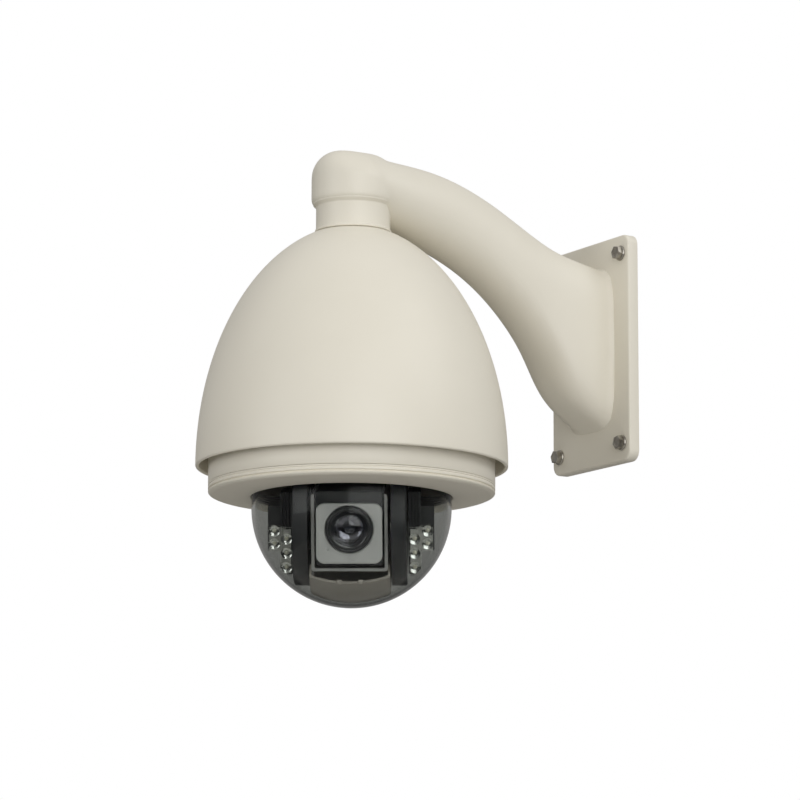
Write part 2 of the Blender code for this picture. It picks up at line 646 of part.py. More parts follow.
def make_trim(paint, axis):
    """Beaded ring under the housing, with the sloping underside and the bubble's seat."""
    top = HOUSING_BOTTOM - TOUCH
    outer_r = HOUSING_R
    groove = TRIM_EDGE_Z + TRIM_GROOVE_UP
    outside = [(outer_r, top), (outer_r, groove + 0.5), (outer_r - TRIM_GROOVE, groove),
               (outer_r - TRIM_GROOVE, groove - 0.8), (outer_r, groove - 1.3)]
    outside += [(outer_r - 0.3, groove - 2.2), (outer_r - 1.5, TRIM_EDGE_Z)]
    mouth = [(BUBBLE_MOUTH_R + 0.8, TRIM_MOUTH_Z), (BUBBLE_MOUTH_R, TRIM_MOUTH_Z + 0.8),
             (BUBBLE_MOUTH_R, LEDGE_Z)]
    rib_in, rib_out = CLAMP_R - RIB_W, CLAMP_R
    rib_top = CLAMP_BOTTOM - TOUCH
    inside = [(rib_in, LEDGE_Z), (rib_in, rib_top), (rib_out, rib_top), (rib_out, LEDGE_Z + 1.0),
              (outer_r - TRIM_WALL, LEDGE_Z + 1.0), (outer_r - TRIM_WALL, top)]
    obj = piece("trim_ring", turned(outside + mouth + inside), paint, axis)
    for x, y in clamp_screw_places():
        cut(obj, bore(SCREW_R + TOUCH, (x, y, LEDGE_Z + 1.5), (x, y, rib_top + 5)))
    return obj


def clamp_screw_places():
    angles = [math.radians(CLAMP_TURN + 360 * i / CLAMP_SCREWS) for i in range(CLAMP_SCREWS)]
    return [(CLAMP_SCREW_R * math.cos(a), CLAMP_SCREW_R * math.sin(a)) for a in angles]


def make_bubble(smoke, rubber, metal, steel, axis):
    """Smoked bubble, its gasket, the clamp ring and the clamp's screws."""
    center = (0.0, BUBBLE_Z)
    inner_r = BUBBLE_R - BUBBLE_WALL
    low = LEDGE_Z + TOUCH
    outside = arc(center, BUBBLE_R, -90, 0, 7) + [(BUBBLE_R, low), (FLANGE_R, low)]
    inside = [(FLANGE_R, FLANGE_TOP), (inner_r, FLANGE_TOP)] + arc(center, inner_r, 0, -90, 6)
    outside[0], inside[-1] = (0.0, outside[0][1]), (0.0, inside[-1][1])
    piece("bubble", turned(outside + inside), smoke, axis)
    gasket_in = inner_r + 4.0
    ring = [(gasket_in, FLANGE_TOP + TOUCH), (FLANGE_R, FLANGE_TOP + TOUCH),
            (FLANGE_R, GASKET_TOP), (gasket_in, GASKET_TOP)]
    piece("bubble_gasket", turned(ring), rubber, axis)
    clamp_in = BUBBLE_R + 1.5
    ring = [(clamp_in, CLAMP_BOTTOM), (CLAMP_R, CLAMP_BOTTOM),
            (CLAMP_R, CLAMP_BOTTOM + CLAMP_T), (clamp_in, CLAMP_BOTTOM + CLAMP_T)]
    clamp = piece("bubble_clamp_ring", turned(ring), metal, axis)
    head = CLAMP_BOTTOM + CLAMP_T + TOUCH
    for i, (x, y) in enumerate(clamp_screw_places()):
        cut(clamp, bore(SCREW_R + TOUCH, (x, y, CLAMP_BOTTOM - 5), (x, y, head + 5)))
        tip = LEDGE_Z + 2.0
        profile = [(0, tip - head), (SCREW_R, tip - head), (SCREW_R, 0), (SCREW_HEAD_R, 0),
                   (SCREW_HEAD_R, SCREW_HEAD_H * 0.6), (SCREW_HEAD_R * 0.6, SCREW_HEAD_H),
                   (0, SCREW_HEAD_H)]
        piece(f"clamp_screw_{i + 1}", turned(profile, 12), steel, axis, at=(x, y, head))


# ---- fixed works inside the housing -------------------------------------------------
def make_chassis(metal, axis):
    """Round plate with the bearing hub, the board posts and holes for motor and fan."""
    edge = housing_radius(LEDGE_TOP) - HOUSING_WALL - CHASSIS_SIDE
    hub_in = RACE_OUT_R + TOUCH
    hub_low = HUB_TOP - BEARING_H - 1.5
    profile = [(hub_in, HUB_TOP), (HUB_R, HUB_TOP), (HUB_R, CHASSIS_TOP), (edge, CHASSIS_TOP),
               (edge, CHASSIS_BOTTOM), (HUB_R, CHASSIS_BOTTOM), (HUB_R, hub_low),
               (hub_in - HUB_SEAT, hub_low), (hub_in - HUB_SEAT, hub_low + 1.2), (hub_in, hub_low + 1.2)]
    obj = piece("chassis_plate", turned(profile), metal, axis)
    for sx in (1, -1):
        for sy in (1, -1):
            x, y = sx * POST_AT, sy * POST_AT
            join(obj, rod(POST_R, (x, y, CHASSIS_BOTTOM + 1), (x, y, BOARD_Z - TOUCH), 8))
    low, high = CHASSIS_BOTTOM - 5, CHASSIS_TOP + 5
    cut(obj, bore(PILOT_R + TOUCH, (PAN_MOTOR_X, 0, low), (PAN_MOTOR_X, 0, high)))
    cut(obj, bore(FAN_SIDE / 2 - 2 * FAN_WALL, (FAN_X, 0, low), (FAN_X, 0, high), 24))
    return obj


def make_pan_motor(black, metal, rubber, axis, spin_axis):
    low = CHASSIS_TOP + TOUCH
    half = PAN_MOTOR_SIDE / 2
    body = box((PAN_MOTOR_X - half, -half, low), (PAN_MOTOR_X + half, half, low + PAN_MOTOR_H),
               4.0, only=(0, 0, 1))
    obj = piece("pan_motor", body, black, axis)
    join(obj, rod(PILOT_R, (PAN_MOTOR_X, 0, low - 2), (PAN_MOTOR_X, 0, low + 2), 24))
    shaft_top = low + MOTOR_SHAFT_IN
    cut(obj, bore(MOTOR_SHAFT_R + TOUCH, (PAN_MOTOR_X, 0, low - 5), (PAN_MOTOR_X, 0, shaft_top + 1)))
    pulley = pulley_profile(PAN_MOTOR_PULLEY_R, 0.0, PULLEY_Z0, PULLEY_Z1)
    profile = pulley[:-1] + [(MOTOR_SHAFT_R, PULLEY_Z1), (MOTOR_SHAFT_R, shaft_top), (0, shaft_top)]
    piece("pan_motor_pulley", turned(profile, 16), metal, spin_axis)
    loop = belt(abs(PAN_MOTOR_X), PAN_PULLEY_R, PAN_MOTOR_PULLEY_R, -BELT_W / 2, BELT_W / 2)
    # the belt is drawn in the Y-Z plane: lay it flat, with its far pulley at -X
    bmesh.ops.rotate(loop, verts=loop.verts, matrix=Matrix.Rotation(-math.pi / 2, 3, "Y"))
    bmesh.ops.translate(loop, verts=loop.verts, vec=(0, 0, (PULLEY_Z0 + PULLEY_Z1) / 2))
    piece("pan_belt", loop, rubber, axis)


def make_slip_ring(black, brass, axis, pan):
    """Stator cup over the hub, and the rotor inside the hollow pan shaft."""
    foot = HUB_TOP + TOUCH
    inner = SHAFT_R + 1.0
    waist = SHAFT_TOP + 1.5
    top = waist + SLIP_CUP_L
    cup_r = SHAFT_BORE_R - 0.3
    profile = [(inner, foot), (HUB_R, foot), (HUB_R, foot + 2.2), (inner + 2.2, foot + 2.2),
               (inner + 2.2, waist + 2.2), (cup_r + 3.2, waist + 2.2), (cup_r + 3.2, top), (0, top)]
    cavity = [(0, top - 3), (cup_r, top - 3), (cup_r, waist), (inner, waist)]
    closed = [(0, top - 3)] + cavity[1:] + profile
    piece("slip_ring_stator", turned(closed, ROUND_MID), black, axis)
    rotor = cup_r - 0.6
    low, high = PLATTER_LOW, top - 4.5
    profile = [(0, low), (rotor, low)]
    pitch = (high - waist) / (SLIP_RINGS + 1)
    for i in range(SLIP_RINGS):
        z = waist + pitch * (i + 1)
        profile += [(rotor, z - 1), (rotor - 1.2, z - 0.6), (rotor - 1.2, z + 0.6), (rotor, z + 1)]
    profile += [(rotor, high), (0, high)]
    piece("slip_ring_rotor", turned(profile, 16), brass, pan)


def make_bearing(steel, brass, axis, pan, cage_axis):
    low, high = HUB_TOP - BEARING_H, HUB_TOP
    middle = (low + high) / 2
    for name, inner, parent in (("pan_bearing_outer", RACE_OUT_R - RACE_T, axis),
                                ("pan_bearing_inner", RACE_IN_R, pan)):
        outer = inner + RACE_T
        ring = [(inner, low), (outer, low), (outer, high), (inner, high)]
        piece(name, turned(ring, ROUND_MID), steel, parent)
    web = 0.6
    ring = [(BALL_PITCH_R - web, middle - 3), (BALL_PITCH_R + web, middle - 3),
            (BALL_PITCH_R + web, middle + 3), (BALL_PITCH_R - web, middle + 3)]
    cage = piece("pan_bearing_cage", turned(ring, ROUND_MID), brass, cage_axis)
    for i in range(BALLS):
        a = 2 * math.pi * (i + 0.37) / BALLS
        ball = bmesh.new()
        place = Matrix.Translation((BALL_PITCH_R * math.cos(a), BALL_PITCH_R * math.sin(a), middle))
        bmesh.ops.create_uvsphere(ball, u_segments=6, v_segments=4, radius=BALL_R, matrix=place)
        join(cage, ball)


def make_fan(black, axis, spin_axis):
    low = CHASSIS_TOP + TOUCH
    half = FAN_SIDE / 2
    frame = piece("fan_frame", box((FAN_X - half, -half, low), (FAN_X + half, half, low + FAN_T),
                                   3.0, only=(0, 0, 1)), black, axis)
    duct_r = half - FAN_WALL
    cut(frame, bore(duct_r, (FAN_X, 0, low - 5), (FAN_X, 0, low + FAN_T + 5), ROUND_MID))
    roof = low + FAN_T - FAN_STRUT
    join(frame, box((FAN_X - half + 1, -FAN_STRUT, roof), (FAN_X + half - 1, FAN_STRUT, low + FAN_T)))
    hub_low, hub_top = low + 1.0, roof - TOUCH - 0.5
    rotor = piece("fan_rotor", rod(FAN_HUB_R, (0, 0, hub_low), (0, 0, hub_top), 16), black, spin_axis)
    for i in range(FAN_BLADES):
        blade = box((FAN_HUB_R - 1, -0.6, -3.2), (duct_r - 1.2, 0.6, 2.6))
        pitch = Matrix.Rotation(math.radians(40), 3, "X")
        bmesh.ops.rotate(blade, verts=blade.verts, matrix=pitch)
        bmesh.ops.translate(blade, verts=blade.verts, vec=(0, 0, (hub_low + hub_top) / 2))
        turn = Matrix.Rotation(2 * math.pi * i / FAN_BLADES, 3, "Z")
        bmesh.ops.rotate(blade, verts=blade.verts, matrix=turn)
        join(rotor, blade)


def make_boards(green, black, axis):
    top = BOARD_Z + BOARD_T
    board = piece("power_board", box((-POWER_BOARD_X, -POWER_BOARD_Y, BOARD_Z),
                                     (POWER_BOARD_X, POWER_BOARD_Y, top)), green, axis)
    cut(board, bore(SHAFT_R + 4.0, (0, 0, BOARD_Z - 5), (0, 0, BOARD_Z + 5), 24))
    low, half = top + TOUCH, TERMINAL_HALF
    block = piece("terminal_block", box((-half, 24, low), (half, 36, low + 11), 1.0, only=(1, 0, 0)),
                  black, axis)
    for i in range(TERMINALS):
        x = half * (2 * i + 1 - TERMINALS) / TERMINALS
        cut(block, bore(2.0, (x, 30, low + 5), (x, 30, low + 15), 8))


# ---- parts that pan -----------------------------------------------------------------
def make_platter(metal, black, pan):
    """Platter with the hollow pan shaft, and the belt pulley that sits on it."""
    profile = [(SHAFT_BORE_R, PLATTER_LOW), (PLATTER_R, PLATTER_LOW), (PLATTER_R, PLATTER_TOP),
               (SHAFT_R, PLATTER_TOP), (SHAFT_R, SHAFT_TOP), (SHAFT_BORE_R, SHAFT_TOP)]
    piece("pan_platter", turned(profile, ROUND_MID), metal, pan)
    pulley = pulley_profile(PAN_PULLEY_R, SHAFT_R + TOUCH, PULLEY_Z0, PULLEY_Z1)
    piece("pan_pulley", turned(pulley, ROUND_MID), black, pan)


def yoke_outline(inset):
    """Side view of a yoke arm: tapered sides down to a round lower end, about the tilt axis."""
    top = PLATTER_LOW - TOUCH - TILT_Z - inset
    half = YOKE_TOP_HALF - inset
    sides = [(YOKE_R - inset, YOKE_SHOULDER), (half, top), (-half, top), (inset - YOKE_R, YOKE_SHOULDER)]
    return arc((0, 0), YOKE_R - inset, 180, 360, 14) + sides


def make_yoke(name, side, black, tilt_center):
    """A channel-shaped arm, open towards the camera, with a bush hole for the tilt shaft."""
    start, end = side * YOKE_INNER, side * YOKE_OUTER
    obj = piece(name, prism(yoke_outline(0.0), start, end), black, tilt_center)
    cut(obj, prism(yoke_outline(YOKE_RIM), start - side * 2, end - side * YOKE_WALL))
    past = end + side * 5
    cut(obj, bore(TILT_SHAFT_R + TOUCH, (start, 0, 0), (past, 0, 0), 24))
    if side < 0:
        z = TILT_MOTOR_UP
        cut(obj, bore(MOTOR_SHAFT_R + 2 * TOUCH, (start, 0, z), (past, 0, z)))
    return obj


def make_tilt_drive(black, metal, rubber, pan_tilt, motor_axis):
    """Motor beside the left yoke arm, its pulley and the belt inside the arm's channel."""
    z = TILT_MOTOR_UP
    start = -(YOKE_OUTER + TOUCH)
    motor = piece("tilt_motor", rod(TILT_MOTOR_R, (start, 0, z), (start - TILT_MOTOR_L, 0, z), 16),
                  black, pan_tilt)
    cut(motor, bore(MOTOR_SHAFT_R + TOUCH, (start + 2, 0, z), (start - TILT_SHAFT_IN - 1, 0, z)))
    low, high = tilt_pulley_span()
    profile = pulley_profile(TILT_MOTOR_PULLEY_R, 0.0, low, high)
    tip = YOKE_OUTER + TOUCH + TILT_SHAFT_IN
    profile = profile[:-1] + [(MOTOR_SHAFT_R, high), (MOTOR_SHAFT_R, tip), (0, tip)]
    piece("tilt_motor_pulley", mirror_x(turned(profile, 16, "X")), metal, motor_axis)
    middle = -(low + high) / 2
    loop = belt(z, TILT_PULLEY_R, TILT_MOTOR_PULLEY_R, middle - BELT_W / 2, middle + BELT_W / 2)
    piece("tilt_belt", loop, rubber, pan_tilt)


def tilt_pulley_span():
    """Near and far face of the tilt pulleys, measured outwards from the camera."""
    middle = (YOKE_INNER + YOKE_OUTER - YOKE_WALL) / 2
    return middle - PULLEY_H / 2, middle + PULLEY_H / 2


def mirror_x(shape):
    bmesh.ops.scale(shape, verts=shape.verts, vec=(-1, 1, 1))
    return shape


def make_drive_board(green, pan):
    """Motor drive electronics, hung behind the drum."""
    y = DRUM_R + 5.0
    top = PLATTER_LOW - 2.0
    board = piece("drive_board", box((-28, y, top - 32), (28, y + BOARD_T, top)), green, pan)
    join(board, box((-10, y - 2, top - 24), (6, y + 0.5, top - 10)))
    join(board, box((14, y - 5, top - 28), (24, y + 0.5, top - 6)))


# ---- parts that tilt ----------------------------------------------------------------
def make_cradle(metal, tilt):
    """U-shaped sheet frame under and beside the zoom block."""
    obj = piece("camera_cradle", box((-CRADLE_HALF, -CRADLE_FRONT, CRADLE_FLOOR),
                                     (CRADLE_HALF, CRADLE_BACK, CRADLE_TOP)), metal, tilt)
    half = CRADLE_HALF - CRADLE_T
    return cut(obj, box((-half, -CRADLE_FRONT - 5, CRADLE_FLOOR + CRADLE_T),
                        (half, CRADLE_BACK + 5, CRADLE_TOP + 5)))


def make_chin(grey, tilt):
    """Cover below the camera: a channel section with a crowned outside, swept round the tilt axis."""
    start = math.radians(CHIN_START)
    edge = -CRADLE_FLOOR / math.sin(start) - CHIN_LAP
    half, inner = DRUM_HALF, DRUM_HALF - CHIN_SIDE
    crown = math.hypot(DRUM_HALF, DRUM_R + TILT_DROP)
    outside = [(x, math.sqrt(crown ** 2 - x ** 2) - TILT_DROP) for x in np.linspace(-half, half, 7)]
    inside = [(x, r - DRUM_WALL) for x, r in outside[-2:0:-1]]
    low = outside[0][1] - DRUM_WALL
    section = [(-half, edge)] + outside + [(half, edge), (inner, edge), (inner, low)]
    section += inside + [(-inner, low), (-inner, edge)]
    shape = bmesh.new()
    verts = [shape.verts.new((x, -r * math.cos(start), -r * math.sin(start))) for x, r in section]
    face = shape.faces.new(verts)
    bmesh.ops.spin(shape, geom=[face], axis=(1, 0, 0), cent=(0, 0, 0),
                   angle=math.radians(CHIN_SWEEP), steps=14)
    return piece("chin_cover", shape, grey, tilt)


def make_zoom_block(black, grey, glass, green, steel, tilt):
    """Zoom block: body, bezel, lens ring, front lens, sensor board and guide rods."""
    half_w, half_h = BLOCK_W / 2, BLOCK_H / 2
    body = piece("camera_body", box((-half_w, -BLOCK_FRONT, -half_h), (half_w, BLOCK_BACK, half_h),
                                    1.5, only=(0, 1, 0)), black, tilt)
    cut(body, box((-half_w + BLOCK_WALL, -BLOCK_FRONT + BLOCK_WALL, -half_h + BLOCK_WALL),
                  (half_w - BLOCK_WALL, BLOCK_BACK + 5, half_h - BLOCK_WALL)))
    cut(body, bore(LENS_RING_BORE, (0, -BLOCK_FRONT - 5, 0), (0, -BLOCK_FRONT + 5, 0), 24))
    bezel_back = BLOCK_FRONT + TOUCH
    low, high = (-half_w, -BEZEL_FRONT, BEZEL_BOTTOM), (half_w, -bezel_back, BEZEL_TOP)
    bezel = piece("front_bezel", box(low, high, BEZEL_CORNER, only=(0, 1, 0)), grey, tilt)
    ahead, behind = (0, -BEZEL_FRONT - 5, 0), (0, -bezel_back + 5, 0)
    cut(bezel, bore(LENS_RING_R + LENS_CLEAR, ahead, behind, ROUND_MID))
    back, front = bezel_back, bezel_back + LENS_RING_L
    lip = 1.2
    ring = [(LENS_RING_BORE - 4, back), (LENS_RING_R, back), (LENS_RING_R, front - 0.8),
            (LENS_RING_R - 0.8, front), (LENS_RING_BORE, front), (LENS_RING_BORE, back + lip),
            (LENS_RING_BORE - 4, back + lip)]
    piece("lens_ring", turned(ring, ROUND_MID, "Y"), black, tilt)
    edge = LENS_RING_BORE - LENS_CLEAR
    lens_back = back + lip + TOUCH
    profile = [(0, lens_back), (edge, lens_back), (edge, lens_back + 1.6)]
    bulge = lens_back + 1.6
    profile += [(edge * math.cos(a), bulge + LENS_SAG * math.sin(a)) for a in np.radians((30, 60))]
    profile += [(0, bulge + LENS_SAG)]
    piece("front_lens", turned(profile, ROUND_MID, "Y"), glass, tilt)
    start = BLOCK_BACK + TOUCH
    low, high = (1 - half_w, start, 1 - half_h), (half_w - 1, start + BOARD_T, half_h - 1)
    board = piece("sensor_board", box(low, high), green, tilt)
    join(board, box((-6, start - 2.0, -5), (6, start + 0.5, 5)))
    for i, side in enumerate((1, -1)):
        x, z = side * ROD_X, -side * ROD_Z
        ends = (x, -BLOCK_FRONT + BLOCK_WALL + TOUCH, z), (x, BLOCK_BACK, z)
        piece(f"guide_rod_{i + 1}", rod(ROD_R, *ends, 12), steel, tilt)


def make_lens_group(name, at, black, tilt):
    """A lens carrier that rides on both guide rods."""
    low, high = (-ROD_X - 4.0, -GROUP_T / 2, -ROD_Z - 4.0), (ROD_X + 4.0, GROUP_T / 2, ROD_Z + 4.0)
    obj = piece(name, box(low, high, 2.0, only=(0, 1, 0)), black, tilt, at=(0, at, 0))
    dome = [(0, -GROUP_T), (GROUP_LENS_R * 0.7, -GROUP_T * 0.85), (GROUP_LENS_R, 0),
            (GROUP_LENS_R * 0.7, GROUP_T * 0.85), (0, GROUP_T)]
    join(obj, turned(dome, 12, "Y"))
    for side in (1, -1):
        x, z = side * ROD_X, -side * ROD_Z
        cut(obj, bore(ROD_R + ROD_CLEAR, (x, -GROUP_T, z), (x, GROUP_T, z), 12))
    return obj


def stepped_lamp_part(side, set_back, thickness, inset):
    """The lamp head's stepped front, as one plate: deep column, riser and shallow column."""
    deep, shallow = LAMP_FACE - set_back, LAMP_STEP_FACE - set_back
    inner, riser, outer = LAMP_INNER + 0.5 + inset, LAMP_STEP - set_back, LAMP_OUTER - inset
    outline = [(inner, -deep), (riser, -deep), (riser, -shallow), (outer, -shallow),
               (outer, -shallow + thickness), (riser - thickness, -shallow + thickness),
               (riser - thickness, -deep + thickness), (inner, -deep + thickness)]
    shape = bmesh.new()
    low, high = LAMP_LOW + inset, LAMP_PLATE_TOP - inset
    face = shape.faces.new([shape.verts.new((side * x, y, low)) for x, y in outline])
    made = bmesh.ops.extrude_face_region(shape, geom=[face])
    moved = [v for v in made["geom"] if isinstance(v, bmesh.types.BMVert)]
    bmesh.ops.translate(shape, verts=moved, vec=(0, 0, high - low))
    return shape


def lamp_corner_cutters(side):
    """Two wedges that keep the lamp head's lower corners inside the bubble."""
    far = LAMP_OUTER + 20.0
    near_x, far_x = sorted((side * LAMP_STEP, side * far))
    under = box((near_x, -60, LAMP_LOW - 20), (far_x, 60, LAMP_STEP_LOW))
    corner = [(LAMP_STEP - LAMP_CHAMFER, LAMP_LOW - 1), (far, LAMP_LOW - 1), (far, LAMP_STEP_LOW),
              (LAMP_STEP + 1, LAMP_LOW + LAMP_CHAMFER)]
    wedge = bmesh.new()
    face = wedge.faces.new([wedge.verts.new((side * x, -60, z)) for x, z in corner])
    made = bmesh.ops.extrude_face_region(wedge, geom=[face])
    moved = [v for v in made["geom"] if isinstance(v, bmesh.types.BMVert)]
    bmesh.ops.translate(wedge, verts=moved, vec=(0, 120, 0))
    return under, wedge


def trim_lamp_corners(obj, side):
    for cutter in lamp_corner_cutters(side):
        cut(obj, cutter)
    return obj


def make_lamp_head(word, side, black, clear, green, tilt):
    """Infrared lamp head: finned housing, lamp board and moulded lens plate."""
    board_back = LENS_PLATE_T + TOUCH
    body_back = board_back + LED_BOARD_T + TOUCH
    deep, shallow = LAMP_FACE - body_back, LAMP_STEP_FACE - body_back
    waist = LAMP_STEP - body_back
    lap = 1.0

    def block(x0, x1, front, low, high):
        xs = sorted((side * x0, side * x1))
        return box((xs[0], -front, low), (xs[1], LAMP_BACK, high))

    housing = piece(f"led_housing_{word}", block(LAMP_INNER, waist, deep, LAMP_LOW, LAMP_HIGH),
                    black, tilt)
    join(housing, block(waist - lap, LAMP_STEP, deep, LAMP_PLATE_TOP + TOUCH, LAMP_HIGH))
    join(housing, block(waist - 2 * lap, LAMP_STEP, shallow, LAMP_LOW, LAMP_PLATE_TOP + lap))
    join(housing, block(LAMP_STEP - lap, LAMP_OUTER, shallow, LAMP_STEP_LOW, LAMP_STEP_HIGH))
    for i in range(LAMP_FINS):
        x = LAMP_INNER + LAMP_DEEP_W * (i + 0.5) / LAMP_FINS
        fin = block(x - 0.6, x + 0.6, LAMP_FACE, LAMP_PLATE_TOP + 1.0, LAMP_HIGH)
        groove = [v for v in fin.verts if v.co.y > 0]
        bmesh.ops.translate(fin, verts=groove, vec=(0, -LAMP_BACK - deep + 2.0, 0))
        join(housing, fin)
    trim_lamp_corners(housing, side)
    board = piece(f"led_board_{word}", stepped_lamp_part(side, board_back, LED_BOARD_T, 1.0),
                  green, tilt)
    trim_lamp_corners(board, side)
    plate = piece(f"led_lens_{word}", stepped_lamp_part(side, 0.0, LENS_PLATE_T, 0.0), clear, tilt)
    trim_lamp_corners(plate, side)
    deep_x = LAMP_INNER + LAMP_DEEP_W / 2
    shallow_x = LAMP_STEP + LAMP_STEP_W / 2
    lamps = [(deep_x, LAMP_FACE, z) for z in LED_ROWS]
    lamps += [(shallow_x, LAMP_STEP_FACE, z) for z in LED_STEP_ROWS]
    for x, face, z in lamps:
        dome = [(0, face - 1.0), (LED_R, face - 1.0), (LED_R, face + LED_RISE * 0.3),
                (LED_R * 0.7, face + LED_RISE * 0.8), (0, face + LED_RISE)]
        shape = turned(dome, 8, "Y")
        bmesh.ops.translate(shape, verts=shape.verts, vec=(side * x, 0, z))
        join(plate, shape)


# ---- assembly -----------------------------------------------------------------------
def main():
    for obj in list(bpy.data.objects):
        bpy.data.objects.remove(obj, do_unlink=True)

    cream = material("cream_paint", (0.80, 0.77, 0.68), 0.38)
    steel = material("zinc_steel", (0.55, 0.54, 0.50), 0.35, 1.0)
    cast = material("bare_aluminium", (0.62, 0.62, 0.61), 0.45, 1.0)
    black = material("black_plastic", (0.025, 0.026, 0.028), 0.45)
    grey = material("grey_plastic", (0.36, 0.35, 0.33), 0.5)
    rubber = material("black_rubber", (0.03, 0.03, 0.03), 0.8)
    smoke = material("smoked_bubble", (0.55, 0.57, 0.55), 0.05, 0.0, 0.9)
    clear = material("lamp_lens", (0.85, 0.86, 0.85), 0.12, 0.0, 0.7)
    glass = material("coated_glass", (0.12, 0.12, 0.16), 0.03, 0.0, 0.5)
    brass = material("brass", (0.72, 0.55, 0.25), 0.3, 1.0)
    green = material("circuit_board", (0.05, 0.20, 0.10), 0.5)

    head = empty("dome_axis", (0, -REACH, 0))
    pan = empty("pan_axis", (0, -REACH, 0), turn=(0, 0, math.radians(PAN_REST)))
    tilt_center = empty("tilt_center", (0, 0, TILT_Z), pan)
    tilt = empty("tilt_axis", (0, 0, 0), tilt_center, turn=(math.radians(TILT_REST), 0, 0))
    pan_motor_axis = empty("pan_motor_axis", (PAN_MOTOR_X, 0, 0), head)
    fan_axis = empty("fan_axis", (FAN_X, 0, 0), head)
    cage_axis = empty("cage_axis", (0, 0, 0), head)
    tilt_motor_axis = empty("tilt_motor_axis", (0, 0, TILT_MOTOR_UP), tilt_center)

    make_bracket(cream)
    for i, place in enumerate(bolt_places()):
        make_bolt(f"wall_bolt_{i + 1}", place, steel)
    make_shield(cream, head)
    make_housing(cream, head)
    make_neck(cast, rubber, steel, head)
    make_trim(cream, head)
    make_bubble(smoke, rubber, cast, steel, head)
    make_chassis(cast, head)
    make_pan_motor(black, cast, rubber, head, pan_motor_axis)
    make_slip_ring(black, brass, head, pan)
    make_bearing(steel, brass, head, pan, cage_axis)
    make_fan(black, head, fan_axis)
    make_boards(green, black, head)

    make_platter(cast, black, pan)
    make_yoke("yoke_left", -1, black, tilt_center)
    make_yoke("yoke_right", 1, black, tilt_center)
    make_tilt_drive(black, cast, rubber, tilt_center, tilt_motor_axis)
    make_drive_board(green, pan)

    make_cradle(cast, tilt)
    make_chin(grey, tilt)
    make_zoom_block(black, grey, glass, green, steel, tilt)
    make_lens_group("zoom_group", ZOOM_AT, black, tilt)
    make_lens_group("focus_group", FOCUS_AT, black, tilt)
    low, high = (-FILTER_W / 2, -FILTER_T / 2, -FILTER_H / 2), (FILTER_W / 2, FILTER_T / 2, FILTER_H / 2)
    piece("ir_cut_filter", box(low, high, 1.0, only=(0, 1, 0)), glass, tilt, at=(0, FILTER_AT, 0))
    low, high = tilt_pulley_span()
    profile = pulley_profile(TILT_PULLEY_R, TILT_SHAFT_R + TOUCH, low, high)
    piece("tilt_pulley", mirror_x(turned(profile, ROUND_MID, "X")), black, tilt)
    for word, side in (("left", -1), ("right", 1)):
        ends = (side * (CRADLE_HALF + TOUCH), 0, 0), (side * (LAMP_INNER - TOUCH), 0, 0)
        piece(f"tilt_shaft_{word}", rod(TILT_SHAFT_R, *ends), steel, tilt)
        make_lamp_head(word, side, black, clear, green, tilt)


main()
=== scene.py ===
# %% [markdown]
# # A wall-mounted dome camera
# This lesson dresses a finished engineering model of a pan-tilt-zoom camera. The engineering
# model, called the frame, fixes every size and every joint. Here each visible part gets a fine
# surface and a real finish. We load the frame first, because all later places are read from it.

# %% Load the fixed frame
import json
import math

import bmesh
import bpy
from mathutils import Matrix, Vector


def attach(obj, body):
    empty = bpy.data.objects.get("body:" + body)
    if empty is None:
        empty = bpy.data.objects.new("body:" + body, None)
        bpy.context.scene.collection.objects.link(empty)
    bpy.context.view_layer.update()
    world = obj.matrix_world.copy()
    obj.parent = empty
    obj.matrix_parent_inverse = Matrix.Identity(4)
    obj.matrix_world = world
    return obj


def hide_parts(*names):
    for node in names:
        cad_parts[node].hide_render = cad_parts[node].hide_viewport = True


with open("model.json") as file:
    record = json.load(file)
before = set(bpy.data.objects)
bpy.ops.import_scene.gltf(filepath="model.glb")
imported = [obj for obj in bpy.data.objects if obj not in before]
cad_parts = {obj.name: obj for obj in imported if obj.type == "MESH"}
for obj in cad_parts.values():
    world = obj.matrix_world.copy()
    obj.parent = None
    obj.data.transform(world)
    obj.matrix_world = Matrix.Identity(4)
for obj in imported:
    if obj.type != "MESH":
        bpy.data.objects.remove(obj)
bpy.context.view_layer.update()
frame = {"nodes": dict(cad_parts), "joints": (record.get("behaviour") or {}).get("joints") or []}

# %% [markdown]
# Small parts are easiest to draw in millimetres, each in a frame of its own, and then to settle
# in the world. Four frames are enough: the wall plate, the dome's upright axis, the camera head
# that tilts, and the yoke that carries it and pans. Their places and directions come from the joints.

# %% The four working frames
MM = 0.001


def joint(name):
    """One joint of the frame, by name."""
    return next(j for j in frame["joints"] if j["name"] == name)


def working_frame(origin, side, back):
    """A frame drawn in millimetres: X to the side, Y to the back, Z up."""
    side, back = Vector(side).normalized(), Vector(back).normalized()
    up = side.cross(back)
    turn = Matrix((side, back, up)).transposed().to_4x4()
    return Matrix.Translation(Vector(origin)) @ turn @ Matrix.Scale(MM, 4)


pan_x, pan_y, _ = joint("pan")["pos_m"]
tilt_at = Vector(joint("tilt")["pos_m"])
side_way = Vector(joint("tilt")["axis"])
lens_way = Vector(joint("zoom")["axis"])
level_way = Vector((lens_way.x, lens_way.y, 0.0))

at_wall = Matrix.Scale(MM, 4)
at_dome = working_frame((pan_x, pan_y, 0), (1, 0, 0), (0, 1, 0))
at_tilt = working_frame(tilt_at, side_way, -lens_way)
at_yoke = working_frame(tilt_at, side_way, -level_way)


def span(node, place):
    """Lowest and highest corner of a CAD node, in millimetres, in a working frame."""
    back_to_local = place.inverted()
    points = [back_to_local @ v.co for v in frame["nodes"][node].data.vertices]
    low = Vector([min(p[i] for p in points) for i in range(3)])
    high = Vector([max(p[i] for p in points) for i in range(3)])
    return low, high


print("dome axis at y =", round(pan_y, 4), "tilt axis at", [round(v, 4) for v in tilt_at])

